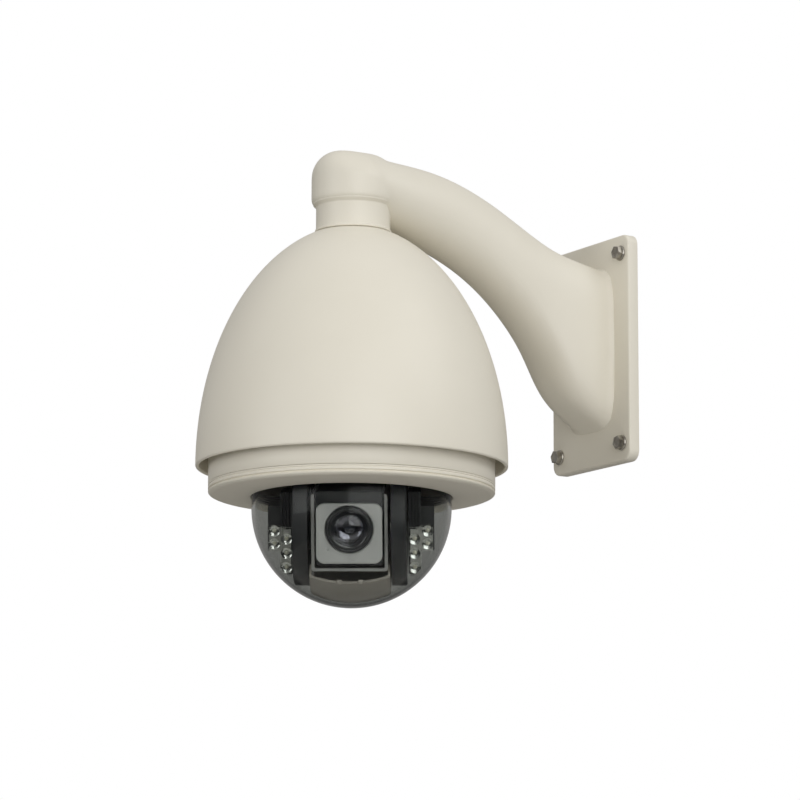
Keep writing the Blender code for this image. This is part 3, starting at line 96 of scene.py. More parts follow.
# %% [markdown]
# The viewpoint is set before anything is modelled. The camera stands low and to the right of
# the dome and looks slightly up with a long lens, which keeps the perspective gentle.

# %% Camera
CAMERA_AT = (2.32442, -1.61701, -0.54332)
CAMERA_TURN = (100.184, -0.176, 58.415)   # degrees
LENS_MM = 160.0

bpy.ops.object.camera_add(location=CAMERA_AT, rotation=[math.radians(a) for a in CAMERA_TURN])
view = bpy.context.object
view.name = "view_camera"
view.data.lens = LENS_MM
view.data.sensor_width = 36.0
view.data.clip_end = 50.0
bpy.context.scene.camera = view
bpy.context.scene.view_settings.view_transform = "Standard"
print("camera lens", LENS_MM, "mm")

# %% [markdown]
# Soft studio light: a large panel beside the viewpoint does most of the work, a smaller one
# stands straight out from the wall, and a third is higher up at the side. The world fills the
# rest, brighter from above than from below. The floor is a wide pale disc far under the object.

# %% Light, world and floor
def soft_panel(name, heading, height, distance, size, power):
    """A square area light that faces the dome; heading 0 is out from the wall, degrees."""
    heading, height = math.radians(heading), math.radians(height)
    target = Vector((pan_x, pan_y, -0.04))
    way = Vector((math.sin(heading) * math.cos(height), -math.cos(heading) * math.cos(height),
                  math.sin(height)))
    bpy.ops.object.light_add(type="AREA", location=target + way * distance)
    lamp = bpy.context.object
    lamp.name = name
    lamp.rotation_euler = way.to_track_quat("Z", "Y").to_euler()
    lamp.data.size = size
    lamp.data.energy = power
    return lamp


soft_panel("key_panel", 76.0, 4.0, 3.4, 2.6, 50.0)
soft_panel("fill_panel", 4.0, 4.0, 3.4, 1.8, 22.0)
soft_panel("side_panel", 122.0, 34.0, 3.0, 1.6, 16.0)

world = bpy.data.worlds.new("studio")
bpy.context.scene.world = world
world.use_nodes = True
tree = world.node_tree
sky = tree.nodes["Background"]
out = tree.nodes["World Output"]
direction = tree.nodes.new("ShaderNodeTexCoord")
split = tree.nodes.new("ShaderNodeSeparateXYZ")
rise = tree.nodes.new("ShaderNodeMapRange")
rise.inputs["From Min"].default_value = -0.35
rise.inputs["From Max"].default_value = 0.6
rise.inputs["To Min"].default_value = 0.03
rise.inputs["To Max"].default_value = 0.56
tree.links.new(direction.outputs["Generated"], split.inputs[0])
tree.links.new(split.outputs["Z"], rise.inputs["Value"])
tree.links.new(rise.outputs["Result"], sky.inputs["Strength"])
sky.inputs["Color"].default_value = (1.0, 0.985, 0.96, 1.0)
paper = tree.nodes.new("ShaderNodeBackground")
paper.inputs["Color"].default_value = (1.0, 1.0, 1.0, 1.0)
seen = tree.nodes.new("ShaderNodeLightPath")
either = tree.nodes.new("ShaderNodeMixShader")
tree.links.new(seen.outputs["Is Camera Ray"], either.inputs[0])
tree.links.new(sky.outputs[0], either.inputs[1])
tree.links.new(paper.outputs[0], either.inputs[2])
tree.links.new(either.outputs[0], out.inputs["Surface"])

FLOOR_Z = -2.2
bpy.ops.mesh.primitive_circle_add(vertices=96, radius=3.0, fill_type="NGON", location=(0, 0, FLOOR_Z))
floor = bpy.context.object
floor.name = "studio_floor"
pale = bpy.data.materials.new("pale_floor")
pale.use_nodes = True
pale.node_tree.nodes["Principled BSDF"].inputs["Base Color"].default_value = (0.58, 0.57, 0.55, 1)
pale.node_tree.nodes["Principled BSDF"].inputs["Roughness"].default_value = 0.7
floor.data.materials.append(pale)
print("lights and floor ready")

# %% [markdown]
# ## Finishes
# Nearly every finish here is a plain base with three kinds of detail: wide, faint patches in
# the colour, a roughness that wanders a little, and a fine grain that tilts the surface. One
# helper builds that from noise textures, and each finish gives its own sizes and strengths.
# The patterns read object coordinates, in metres, so a grain of 0.8 mm is the same everywhere.

# %% A helper for grained finishes
def link(tree, source, target):
    tree.links.new(source, target)


def grained(name, light, dark, patch=0.05, grain=0.001, rough=(0.35, 0.5), bump=0.1,
            metal=0.0, stretch=(1, 1, 1), **sockets):
    """A Principled finish with patchy colour, wandering roughness and a fine grain."""
    mat = bpy.data.materials.new(name)
    mat.use_nodes = True
    tree = mat.node_tree
    shader = tree.nodes["Principled BSDF"]
    coord = tree.nodes.new("ShaderNodeTexCoord")
    scaled = tree.nodes.new("ShaderNodeMapping")
    scaled.inputs["Scale"].default_value = stretch
    link(tree, coord.outputs["Object"], scaled.inputs["Vector"])
    wide = tree.nodes.new("ShaderNodeTexNoise")
    wide.inputs["Scale"].default_value = 1.0 / patch
    wide.inputs["Detail"].default_value = 4.0
    fine = tree.nodes.new("ShaderNodeTexNoise")
    fine.inputs["Scale"].default_value = 1.0 / grain
    fine.inputs["Detail"].default_value = 3.0
    link(tree, coord.outputs["Object"], wide.inputs["Vector"])
    link(tree, scaled.outputs["Vector"], fine.inputs["Vector"])
    tint = tree.nodes.new("ShaderNodeMix")
    tint.data_type = "RGBA"
    tint.inputs["A"].default_value = (*dark, 1.0)
    tint.inputs["B"].default_value = (*light, 1.0)
    ramp = tree.nodes.new("ShaderNodeMapRange")
    ramp.inputs["From Min"].default_value = 0.3
    ramp.inputs["From Max"].default_value = 0.7
    link(tree, wide.outputs["Fac"], ramp.inputs["Value"])
    link(tree, ramp.outputs["Result"], tint.inputs["Factor"])
    link(tree, tint.outputs["Result"], shader.inputs["Base Color"])
    gloss = tree.nodes.new("ShaderNodeMapRange")
    gloss.inputs["From Min"].default_value = 0.25
    gloss.inputs["From Max"].default_value = 0.75
    gloss.inputs["To Min"].default_value = rough[0]
    gloss.inputs["To Max"].default_value = rough[1]
    link(tree, fine.outputs["Fac"], gloss.inputs["Value"])
    link(tree, gloss.outputs["Result"], shader.inputs["Roughness"])
    relief = tree.nodes.new("ShaderNodeBump")
    relief.inputs["Strength"].default_value = bump
    relief.inputs["Distance"].default_value = grain * 0.3
    link(tree, fine.outputs["Fac"], relief.inputs["Height"])
    link(tree, relief.outputs["Normal"], shader.inputs["Normal"])
    shader.inputs["Metallic"].default_value = metal
    for socket, value in sockets.items():
        shader.inputs[socket.replace("_", " ")].default_value = value
    return mat


# %% The plain finishes
cream = grained("cream_powder_coat", (0.845, 0.805, 0.70), (0.815, 0.775, 0.67), 0.09, 0.0009,
                (0.36, 0.50), 0.22)
zinc = grained("zinc_plate", (0.50, 0.48, 0.43), (0.26, 0.24, 0.21), 0.006, 0.0004, (0.25, 0.45),
               0.2, 1.0)
sheet = grained("rolled_sheet", (0.62, 0.62, 0.60), (0.50, 0.50, 0.49), 0.02, 0.0004, (0.3, 0.5), 0.15,
                1.0, stretch=(1, 1, 0.08))
# Black anodised; on the platter and the chassis this black is painted shade for the dark inside of the dome.
anodised_and_painted_shade = grained("black_anodised", (0.030, 0.031, 0.033), (0.020, 0.021, 0.023), 0.02, 0.0005,
                   (0.35, 0.5), 0.15, 0.6)
black = grained("black_moulding", (0.030, 0.031, 0.033), (0.018, 0.019, 0.021), 0.03, 0.0006,
                (0.32, 0.48), 0.3)
bezel_grey = grained("silver_grey_moulding", (0.50, 0.50, 0.49), (0.46, 0.46, 0.45), 0.02, 0.0005,
                     (0.40, 0.52), 0.2)
chin_grey = grained("warm_grey_moulding", (0.34, 0.315, 0.28), (0.31, 0.285, 0.25), 0.04, 0.0007,
                    (0.42, 0.55), 0.25)
rubber = grained("black_rubber", (0.035, 0.034, 0.033), (0.022, 0.022, 0.022), 0.02, 0.0008,
                 (0.7, 0.9), 0.4)
brass = grained("slip_brass", (0.78, 0.60, 0.28), (0.62, 0.45, 0.19), 0.01, 0.0004, (0.2, 0.35),
                0.1, 1.0)
reflector = grained("silvered_cup", (0.92, 0.92, 0.90), (0.80, 0.80, 0.79), 0.004, 0.0005,
                    (0.08, 0.2), 0.2, 1.0)
die_pale = grained("lamp_die", (0.80, 0.77, 0.66), (0.60, 0.57, 0.47), 0.002, 0.0003, (0.3, 0.4), 0.1)
board_white = grained("white_mask", (0.58, 0.57, 0.54), (0.44, 0.43, 0.41), 0.004, 0.0006,
                      (0.35, 0.5), 0.2)
bright_ring = grained("polished_ring", (0.55, 0.55, 0.56), (0.44, 0.44, 0.45), 0.01, 0.0004,
                      (0.12, 0.22), 0.1, 1.0)
bowl_grey = grained("inner_element", (0.40, 0.40, 0.42), (0.30, 0.30, 0.33), 0.006, 0.0008,
                    (0.05, 0.10), 0.05, 1.0)
print("plain finishes ready")

# %% [markdown]
# A circuit board is solder mask over copper: a cell pattern gives the tracks, drawn as thin
# lighter lines.

# %% Circuit board finish
board_green = grained("solder_mask", (0.035, 0.16, 0.075), (0.02, 0.11, 0.05), 0.01, 0.0006,
                      (0.25, 0.4), 0.2)
tree = board_green.node_tree
coord = tree.nodes.new("ShaderNodeTexCoord")
tracks = tree.nodes.new("ShaderNodeTexVoronoi")
tracks.feature = "DISTANCE_TO_EDGE"
tracks.inputs["Scale"].default_value = 260.0
edge = tree.nodes.new("ShaderNodeMapRange")
edge.inputs["From Min"].default_value = 0.05
edge.inputs["From Max"].default_value = 0.02
copper = tree.nodes.new("ShaderNodeMix")
copper.data_type = "RGBA"
copper.inputs["B"].default_value = (0.10, 0.30, 0.14, 1.0)
base = tree.nodes["Principled BSDF"].inputs["Base Color"]
link(tree, coord.outputs["Object"], tracks.inputs["Vector"])
link(tree, tracks.outputs["Distance"], edge.inputs["Value"])
link(tree, edge.outputs["Result"], copper.inputs["Factor"])
link(tree, base.links[0].from_socket, copper.inputs["A"])
link(tree, copper.outputs["Result"], base)
print("board finish ready")

# %% [markdown]
# Three clear finishes: the smoked bubble, the lamp lenses and the front lens. The coated glass
# of the filter and of the lens's pupil is dark and shiny, and not clear. Real lamps light the
# parts inside a clear shell, but a path tracer rarely finds a small lamp through curved glass.
# So for lamps only, the shell counts as a plain tinted window.

# %% Clear finishes
def clear_shell(name, tint, ior, rough, waviness=0.0):
    """Tinted glass that lets lamps through."""
    mat = bpy.data.materials.new(name)
    mat.use_nodes = True
    tree = mat.node_tree
    shader = tree.nodes["Principled BSDF"]
    shader.inputs["Base Color"].default_value = (*tint, 1.0)
    shader.inputs["Transmission Weight"].default_value = 1.0
    shader.inputs["IOR"].default_value = ior
    coord = tree.nodes.new("ShaderNodeTexCoord")
    haze = tree.nodes.new("ShaderNodeTexNoise")
    haze.inputs["Scale"].default_value = 35.0
    haze.inputs["Detail"].default_value = 5.0
    gloss = tree.nodes.new("ShaderNodeMapRange")
    gloss.inputs["To Min"].default_value = rough[0]
    gloss.inputs["To Max"].default_value = rough[1]
    link(tree, coord.outputs["Object"], haze.inputs["Vector"])
    link(tree, haze.outputs["Fac"], gloss.inputs["Value"])
    link(tree, gloss.outputs["Result"], shader.inputs["Roughness"])
    if waviness:
        relief = tree.nodes.new("ShaderNodeBump")
        relief.inputs["Strength"].default_value = waviness
        relief.inputs["Distance"].default_value = 0.0005
        link(tree, haze.outputs["Fac"], relief.inputs["Height"])
        link(tree, relief.outputs["Normal"], shader.inputs["Normal"])
    window = tree.nodes.new("ShaderNodeBsdfTransparent")
    window.inputs["Color"].default_value = (*[c ** 0.5 for c in tint], 1.0)
    path = tree.nodes.new("ShaderNodeLightPath")
    choose = tree.nodes.new("ShaderNodeMixShader")
    link(tree, path.outputs["Is Shadow Ray"], choose.inputs[0])
    link(tree, shader.outputs[0], choose.inputs[1])
    link(tree, window.outputs[0], choose.inputs[2])
    link(tree, choose.outputs[0], tree.nodes["Material Output"].inputs["Surface"])
    return mat


smoke = clear_shell("smoked_acrylic", (0.70, 0.715, 0.70), 1.18, (0.0, 0.03))
lamp_clear = clear_shell("clear_lens_moulding", (0.93, 0.94, 0.93), 1.35, (0.02, 0.10), 0.2)
lens_clear = clear_shell("lens_glass", (0.86, 0.86, 0.90), 1.5, (0.0, 0.01))
coated = grained("coated_glass", (0.020, 0.018, 0.030), (0.012, 0.016, 0.022), 0.02, 0.002,
                 (0.02, 0.05), 0.0, 0.0, IOR=2.2, Coat_Weight=1.0, Coat_Roughness=0.02)
print("clear finishes ready")

# %% [markdown]
# ## Modelling helpers
# A handful of moves cover the whole object: add a primitive, pick some of its edges by their
# place, bevel them, cut one shape with another, and turn a profile round an axis. They are
# written once here, with Blender's own operators, as one would do them by hand.

# %% Selecting and settling
def alone(obj):
    """Make one object the only selected one, and active."""
    bpy.ops.object.select_all(action="DESELECT")
    obj.select_set(True)
    bpy.context.view_layer.objects.active = obj
    return obj


def pick(obj, kind, test):
    """In edit mode, select the vertices, edges or faces that pass a test."""
    bpy.ops.mesh.select_mode(type=kind)
    bpy.ops.mesh.select_all(action="DESELECT")
    mesh = bmesh.from_edit_mesh(obj.data)
    items = {"VERT": mesh.verts, "EDGE": mesh.edges, "FACE": mesh.faces}[kind]
    for item in items:
        if test(item):
            item.select_set(True)
    mesh.select_flush_mode()
    bmesh.update_edit_mesh(obj.data)


def apply_place(obj):
    """Leave an object's place, turn and scale in its mesh."""
    alone(obj)
    bpy.ops.object.transform_apply(location=True, rotation=True, scale=True)
    return obj


def settle(obj, place):
    """Move a piece drawn in millimetres into the world, and leave its place in its mesh."""
    apply_place(obj)
    obj.matrix_world = place
    return apply_place(obj)


def done(obj, place, body, finish, replaces=(), angle=38.0):
    """Settle a piece, shade it, give it its finish and hand it to its body."""
    settle(obj, place)
    bpy.ops.object.shade_smooth_by_angle(angle=math.radians(angle))
    obj.data.materials.clear()
    obj.data.materials.append(finish)
    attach(obj, body)
    if replaces:
        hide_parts(*replaces)
    print(obj.name, "faces:", len(obj.data.polygons))
    return obj


def copy_of(obj, name):
    """A copy with its own mesh."""
    twin = obj.copy()
    twin.data = obj.data.copy()
    twin.name = name
    bpy.context.scene.collection.objects.link(twin)
    return twin


# %% Blocks, cuts and turned shapes
def block(name, low, high, corner=0.0, edge=0.0, along=1, steps=6):
    """A slab: corner rounds the edges along one axis, edge softens all the others."""
    low, high = Vector(low), Vector(high)
    bpy.ops.object.select_all(action="DESELECT")
    bpy.ops.mesh.primitive_cube_add(size=1.0, location=(low + high) / 2)
    obj = bpy.context.object
    obj.name = name
    obj.scale = high - low
    apply_place(obj)
    bpy.ops.object.mode_set(mode="EDIT")
    if corner:
        pick(obj, "EDGE", lambda e: abs((e.verts[0].co - e.verts[1].co).normalized()[along]) > 0.9)
        bpy.ops.mesh.bevel(offset=corner, segments=steps, affect="EDGES")
    if edge:
        ends = (low[along], high[along])
        pick(obj, "EDGE", lambda e: any(all(abs(v.co[along] - end) < 1e-4 for v in e.verts) for end in ends))
        bpy.ops.mesh.bevel(offset=edge, segments=3, affect="EDGES")
    bpy.ops.object.mode_set(mode="OBJECT")
    return obj


def combine(obj, other, operation):
    """Join or cut one shape with another, and remove the other."""
    alone(obj)
    step = obj.modifiers.new("combine", "BOOLEAN")
    step.operation = operation
    step.object = other
    step.solver = "EXACT"
    bpy.ops.object.modifier_apply(modifier=step.name)
    bpy.data.objects.remove(other)
    return obj


def cut(obj, other):
    return combine(obj, other, "DIFFERENCE")


def join(obj, other):
    return combine(obj, other, "UNION")


def bar(radius, start, end, sides=48):
    """A round bar between two points."""
    start, end = Vector(start), Vector(end)
    bpy.ops.object.select_all(action="DESELECT")
    bpy.ops.mesh.primitive_cylinder_add(vertices=sides, radius=radius, depth=(end - start).length,
                                        location=(start + end) / 2,
                                        rotation=(end - start).to_track_quat("Z", "Y").to_euler())
    return apply_place(bpy.context.object)


def softened(points, steps=4):
    """An outline of (radius, height, rounding) points with each corner made an arc."""
    out = []
    count = len(points)
    for i, (r, z, rounding) in enumerate(points):
        here = Vector((r, z))
        before, after = Vector(points[i - 1][:2]), Vector(points[(i + 1) % count][:2])
        if not rounding:
            out.append((r, z))
            continue
        into, away = (before - here).normalized(), (after - here).normalized()
        for k in range(steps + 1):
            t = k / steps
            point = here + rounding * ((1 - t) ** 2 * into + t ** 2 * away)
            out.append((point.x, point.y))
    return out


def start_vertex(name):
    """A new object of one vertex, selected and in edit mode."""
    bpy.ops.object.select_all(action="DESELECT")
    bpy.ops.mesh.primitive_plane_add(size=1.0)
    obj = bpy.context.object
    obj.name = name
    bpy.ops.object.mode_set(mode="EDIT")
    bpy.ops.mesh.select_mode(type="VERT")
    bpy.ops.mesh.select_all(action="SELECT")
    bpy.ops.mesh.merge(type="CENTER")
    return obj


def extrude_through(points):
    """Move the vertex to the first point, and extrude it through the others."""
    bpy.ops.transform.translate(value=points[0])
    for a, b in zip(points, points[1:]):
        step = tuple(q - p for p, q in zip(a, b))
        bpy.ops.mesh.extrude_region_move(TRANSFORM_OT_translate={"value": step})


def turn(name, outline, steps=96):
    """Extrude a vertex along an outline of (radius, height) points and spin it round Z.

    An outline that starts and ends on the axis makes a solid piece; any other one is closed
    first and makes a ring.
    """
    obj = start_vertex(name)
    extrude_through([(r, 0, z) for r, z in outline])
    if outline[0][0] > 1e-6:
        pick(obj, "VERT", lambda v: len(v.link_edges) == 1)
        bpy.ops.mesh.edge_face_add()
    bpy.ops.mesh.select_all(action="SELECT")
    bpy.ops.mesh.spin(steps=steps, angle=2 * math.pi, center=(0, 0, 0), axis=(0, 0, 1))
    bpy.ops.mesh.select_all(action="SELECT")
    bpy.ops.mesh.remove_doubles(threshold=1e-4)
    bpy.ops.mesh.normals_make_consistent(inside=False)
    bpy.ops.object.mode_set(mode="OBJECT")
    return obj


def aim_forward(obj, at=(0, 0, 0)):
    """Lay a turned piece down so that its height points forward, along -Y, and move it."""
    obj.matrix_world = Matrix.Translation(Vector(at)) @ Matrix.Rotation(math.pi / 2, 4, "X")
    return apply_place(obj)


def arc(center, radius, start, end, steps):
    """Points of an arc in the outline plane, angles in degrees."""
    span_angle = (end - start) / steps
    angles = [math.radians(start + span_angle * i) for i in range(steps + 1)]
    return [(center[0] + radius * math.cos(a), center[1] + radius * math.sin(a)) for a in angles]


print("helpers ready")

# %% [markdown]
# ## The wall casting
# The bracket is one aluminium casting: a rectangular plate, a hollow arm that leaves it as a
# wide foot, narrows, and bends over into a round head with a collar below. We extrude a ring of
# vertices along the arm, place each new ring by the arm's upper and lower edge, and join the
# head. A voxel remesh with a little smoothing then melts the joints, as a casting's fillets do.

# %% Measure the casting
PLATE_W, PLATE_H, PLATE_T = 108.5, 183.5, 9.5
plate_low = Vector((-PLATE_W / 2, -PLATE_T, -PLATE_H / 2))
plate_high = Vector((PLATE_W / 2, 0, PLATE_H / 2))
HEAD_TOP = span("wall_bracket", at_wall)[1].z
REACH = -pan_y / MM
HEAD_BOTTOM = 97.0
HEAD_R = 32.2
HEAD_ROUND = 19.0
HEAD_OVAL = 2.1        # above its middle the head is as oval as the arm
COLLAR_BOTTOM = 74.3
COLLAR_R = 29.0
BORE_R = 20.9
FOOT_TOP, FOOT_BOTTOM = 67.2, -61.0
ARM_TOP, ARM_UNDER = HEAD_TOP - 0.6, HEAD_BOTTOM - 5.0
ARM_WALL = 5.5
MELT_LOSS = 0.5        # what the smoothing takes off the outside
UPPER = [(0, 0), (0.213, 0.21), (0.355, 0.477), (0.542, 0.769), (0.749, 0.928), (1, 1)]
LOWER = [(0, 0), (0.170, 0.189), (0.248, 0.37), (0.387, 0.602), (0.6, 0.805), (1, 1)]
bolt_spots = []
for number in range(1, 5):
    low, high = span(f"wall_bolt_{number}", at_wall)
    bolt_spots.append(((low.x + high.x) / 2, (low.z + high.z) / 2))
print("plate", [round(v, 1) for v in plate_high - plate_low], "bolts", len(bolt_spots))


# %% Extrude the arm, ring by ring
def through(points, t):
    """The smooth curve through evenly spaced points (Lagrange's formula)."""
    count = len(points)
    knots = [i / (count - 1) for i in range(count)]
    total = Vector((0.0, 0.0))
    for i in range(count):
        weight = 1.0
        for j in range(count):
            if j != i:
                weight *= (t - knots[j]) / (knots[i] - knots[j])
        total += weight * Vector(points[i])
    return total


def between(t, knots, values):
    """Straight-line steps between values."""
    for a, b, u, v in zip(knots, knots[1:], values, values[1:]):
        if t <= b:
            return u + (v - u) * max(t - a, 0.0) / (b - a)
    return values[-1]


def eased(t, knots, values):
    """The same, averaged over a short stretch so that no ring shows a kink."""
    return sum(between(t + d, knots, values) for d in (-0.06, -0.03, 0, 0.03, 0.06)) / 5


def arm_ring(t, angle, inset, flare=0.0):
    """A point of the arm's skin: t runs from the wall to the head, angle round the oval."""
    out = REACH + 2.0 - PLATE_T
    upper = through([(-PLATE_T - s * out, FOOT_TOP + k * (ARM_TOP - FOOT_TOP)) for s, k in UPPER], t)
    lower = through([(-PLATE_T - s * out, FOOT_BOTTOM + k * (ARM_UNDER - FOOT_BOTTOM))
                     for s, k in LOWER], t)
    half = (upper - lower) / 2
    half *= 1 + (flare - inset) / half.length
    width = eased(t, (0, 0.12, 0.3, 0.6, 0.85, 1), (32, 31, 28.5, 27.5, 29, 31.6)) - inset + flare
    power = 2 / eased(t, (0, 0.15, 0.4, 1), (4.6, 3.2, 2.3, 2.1))
    c, s = math.cos(angle), math.sin(angle)
    y, z = (upper + lower) / 2 + half * math.copysign(abs(s) ** power, s)
    return Vector((width * math.copysign(abs(c) ** power, c), y, z))


def extruded_arm(name, inset, rings, corners, back, flare=0.0):
    """Start from a filled circle and extrude it along the arm."""
    bpy.ops.object.select_all(action="DESELECT")
    bpy.ops.mesh.primitive_circle_add(vertices=corners, radius=10.0, fill_type="NGON")
    obj = bpy.context.object
    obj.name = name
    bpy.ops.object.mode_set(mode="EDIT")
    mesh = bmesh.from_edit_mesh(obj.data)
    corner = mesh.verts.layers.int.new("corner")
    for i, vert in enumerate(sorted(mesh.verts, key=lambda v: math.atan2(v.co.y, v.co.x))):
        vert[corner] = i
    stops = [(0.0, back)] + [(i / (rings - 1), 0.0) for i in range(rings)]
    for number, (t, behind) in enumerate(stops):
        if number:
            bpy.ops.mesh.extrude_region_move(TRANSFORM_OT_translate={"value": (0, 0, 1)})
            mesh = bmesh.from_edit_mesh(obj.data)
            corner = mesh.verts.layers.int["corner"]
        spread = flare * max(0.0, 1 - t / 0.012) ** 2
        for vert in mesh.verts:
            if vert.select or number == 0:
                angle = 2 * math.pi * vert[corner] / corners
                vert.co = arm_ring(t, angle, inset, spread) + Vector((0, behind, 0))
        bmesh.update_edit_mesh(obj.data)
    bpy.ops.mesh.select_all(action="SELECT")
    bpy.ops.mesh.normals_make_consistent(inside=False)
    bpy.ops.object.mode_set(mode="OBJECT")
    return obj


casting = extruded_arm("wall_casting", -MELT_LOSS, 90, 72, 3.0, flare=2.2)
print("arm vertices:", len(casting.data.vertices))

# %% Join the head and melt the joints
grown_r, grown_top = HEAD_R + MELT_LOSS, HEAD_TOP + MELT_LOSS
head_outline = [(0, grown_top)]
head_outline += arc((grown_r - HEAD_ROUND, grown_top - HEAD_ROUND), HEAD_ROUND, 90, 0, 12)
head_outline += [(grown_r, HEAD_BOTTOM + 1.5), (grown_r - 1.5, HEAD_BOTTOM - 1.0),
                 (0, HEAD_BOTTOM - 1.0)]
head = turn("head", head_outline, 96)
arm_middle = (ARM_TOP + ARM_UNDER) / 2
for vert in head.data.vertices:
    if vert.co.z > arm_middle:
        across = min(abs(vert.co.x) / (grown_r + 0.3), 1.0)
        share = (1 - across ** HEAD_OVAL) ** (1 / HEAD_OVAL)
        vert.co.z = arm_middle + (vert.co.z - arm_middle) * max(share, 0.1)
head.location = (0, -REACH, 0)
apply_place(head)
join(casting, head)
alone(casting)
melt = casting.modifiers.new("melt", "REMESH")
melt.mode = "VOXEL"
melt.voxel_size = 1.5
bpy.ops.object.modifier_apply(modifier="melt")
soften = casting.modifiers.new("soften", "SMOOTH")
soften.factor = 0.5
soften.iterations = 14
bpy.ops.object.modifier_apply(modifier="soften")
print("casting skin:", len(casting.data.polygons))

# %% [markdown]
# The plate and the collar stay crisp, so both join after the remesh. The last cut opens the
# cable duct from the back of the plate to the collar, and drills the four bolt holes.

# %% Plate, collar, duct and holes
PLATE_CORNER = 8.5
BOLT_HOLE_R = 3.4
plate = block("plate", plate_low, plate_high, PLATE_CORNER, 0.0, 1, 8)
alone(plate)
bpy.ops.object.mode_set(mode="EDIT")
pick(plate, "EDGE", lambda e: all(v.co.y < -PLATE_T + 0.01 for v in e.verts))
bpy.ops.mesh.bevel(offset=1.5, segments=4, affect="EDGES")
pick(plate, "EDGE", lambda e: all(v.co.y > -0.01 for v in e.verts))
bpy.ops.mesh.bevel(offset=0.5, segments=2, affect="EDGES")
bpy.ops.object.mode_set(mode="OBJECT")
collar_lip_r = COLLAR_R + 0.9
collar = turn("collar", softened([
    (COLLAR_R - 6, HEAD_BOTTOM + 4, 0), (COLLAR_R - 6, COLLAR_BOTTOM, 0),
    (collar_lip_r, COLLAR_BOTTOM, 0.8), (collar_lip_r, COLLAR_BOTTOM + 1.9, 0.8),
    (COLLAR_R, COLLAR_BOTTOM + 2.4, 0.3),
    (COLLAR_R, HEAD_BOTTOM - 2.6, 0.6), (COLLAR_R + 2.4, HEAD_BOTTOM - 0.4, 0.5),
    (COLLAR_R + 2.4, HEAD_BOTTOM + 4, 0)]), 96)
collar.location = (0, -REACH, 0)
apply_place(collar)
plate.select_set(True)
bpy.context.view_layer.objects.active = plate
bpy.ops.object.join()
join(casting, plate)
duct = extruded_arm("duct", ARM_WALL, 40, 40, 2 * PLATE_T)
bore_low = Vector((0, -REACH, COLLAR_BOTTOM - 5))
join(duct, bar(BORE_R, bore_low, (0, -REACH, HEAD_TOP - 11), 64))
drills = [bar(BOLT_HOLE_R, (x, -2 * PLATE_T, z), (x, PLATE_T, z), 32) for x, z in bolt_spots]
alone(duct)
for drill in drills:
    drill.select_set(True)
bpy.ops.object.join()
cut(casting, duct)
done(casting, at_wall, "housing", cream, ["wall_bracket"], 40)

# %% [markdown]
# ## Wall bolts
# Four zinc-plated flange bolts. The flange is turned, the hexagon is a six-sided cylinder whose
# top edges are bevelled, the two are joined, and a shallow dish is cut in the top. One is
# modelled, and the others are copies.

# %% Hex flange bolt
bolt_low, bolt_high = span("wall_bolt_1", at_wall)
bolt_height = -PLATE_T - bolt_low.y
bolt_flange_r = (bolt_high.z - bolt_low.z) / 2
HEX_R = 5.6            # over the corners
bolt = turn("bolt_pattern", softened([
    (0, -7.5, 0), (3.0, -7.5, 0.4), (3.0, 0.3, 0), (bolt_flange_r, 0.3, 0.3),
    (bolt_flange_r, 1.0, 0.4), (HEX_R, 1.9, 0.2), (0, 1.9, 0)]), 48)
hexagon = bar(HEX_R, (0, 0, 1.0), (0, 0, bolt_height), 6)
alone(hexagon)
bpy.ops.object.mode_set(mode="EDIT")
pick(hexagon, "EDGE", lambda e: all(v.co.z > bolt_height - 0.01 for v in e.verts))
bpy.ops.mesh.bevel(offset=0.55, segments=3, affect="EDGES")
bpy.ops.object.mode_set(mode="OBJECT")
join(bolt, hexagon)
dish = turn("dish", [(0, bolt_height - 0.35), (3.2, bolt_height - 0.35), (3.8, bolt_height + 0.2),
                     (0, bolt_height + 0.2)], 32)
cut(bolt, dish)
for number, (x, z) in enumerate(bolt_spots, 1):
    one = copy_of(bolt, f"hex_bolt_{number}")
    alone(one)
    one.matrix_world = (Matrix.Translation((x, -PLATE_T, z)) @ Matrix.Rotation(math.pi / 2, 4, "X")
                        @ Matrix.Rotation(0.35 * number, 4, "Z"))
    done(one, at_wall, "housing", zinc, [f"wall_bolt_{number}"], 30)
bpy.data.objects.remove(bolt)

# %% [markdown]
# ## Sun shield, drum and trim ring
# These are all turned shapes. The shield's bell curve is a formula, so its outline can have as
# many points as the eye needs. Its wall is drawn too, because its lip and the shaded gap behind
# it show from below.

# %% Sun shield
shield_low, shield_high = span("sun_shield", at_dome)
SHIELD_R = shield_high.x
SHIELD_WALL = 3.0
SHIELD_HEIGHT = 191.1
SHIELD_POWER, SHIELD_ROOT = 2.05, 0.515   # 2 and 0.5 would make an ellipse


def shield_radius(z):
    share = max(z - shield_low.z, 0.0) / SHIELD_HEIGHT
    return SHIELD_R * (1 - share ** SHIELD_POWER) ** SHIELD_ROOT


def bell(low, high, count, inward):
    """Points up the bell curve, moved inwards square to the curve."""
    out = []
    for i in range(count):
        z = low + (high - low) * math.sin(math.pi / 2 * i / (count - 1))
        slope = (shield_radius(z + 0.05) - shield_radius(z - 0.05)) / 0.1
        normal = Vector((1.0, -slope)).normalized()
        out.append((shield_radius(z) - inward * normal.x, z - inward * normal.y))
    return out


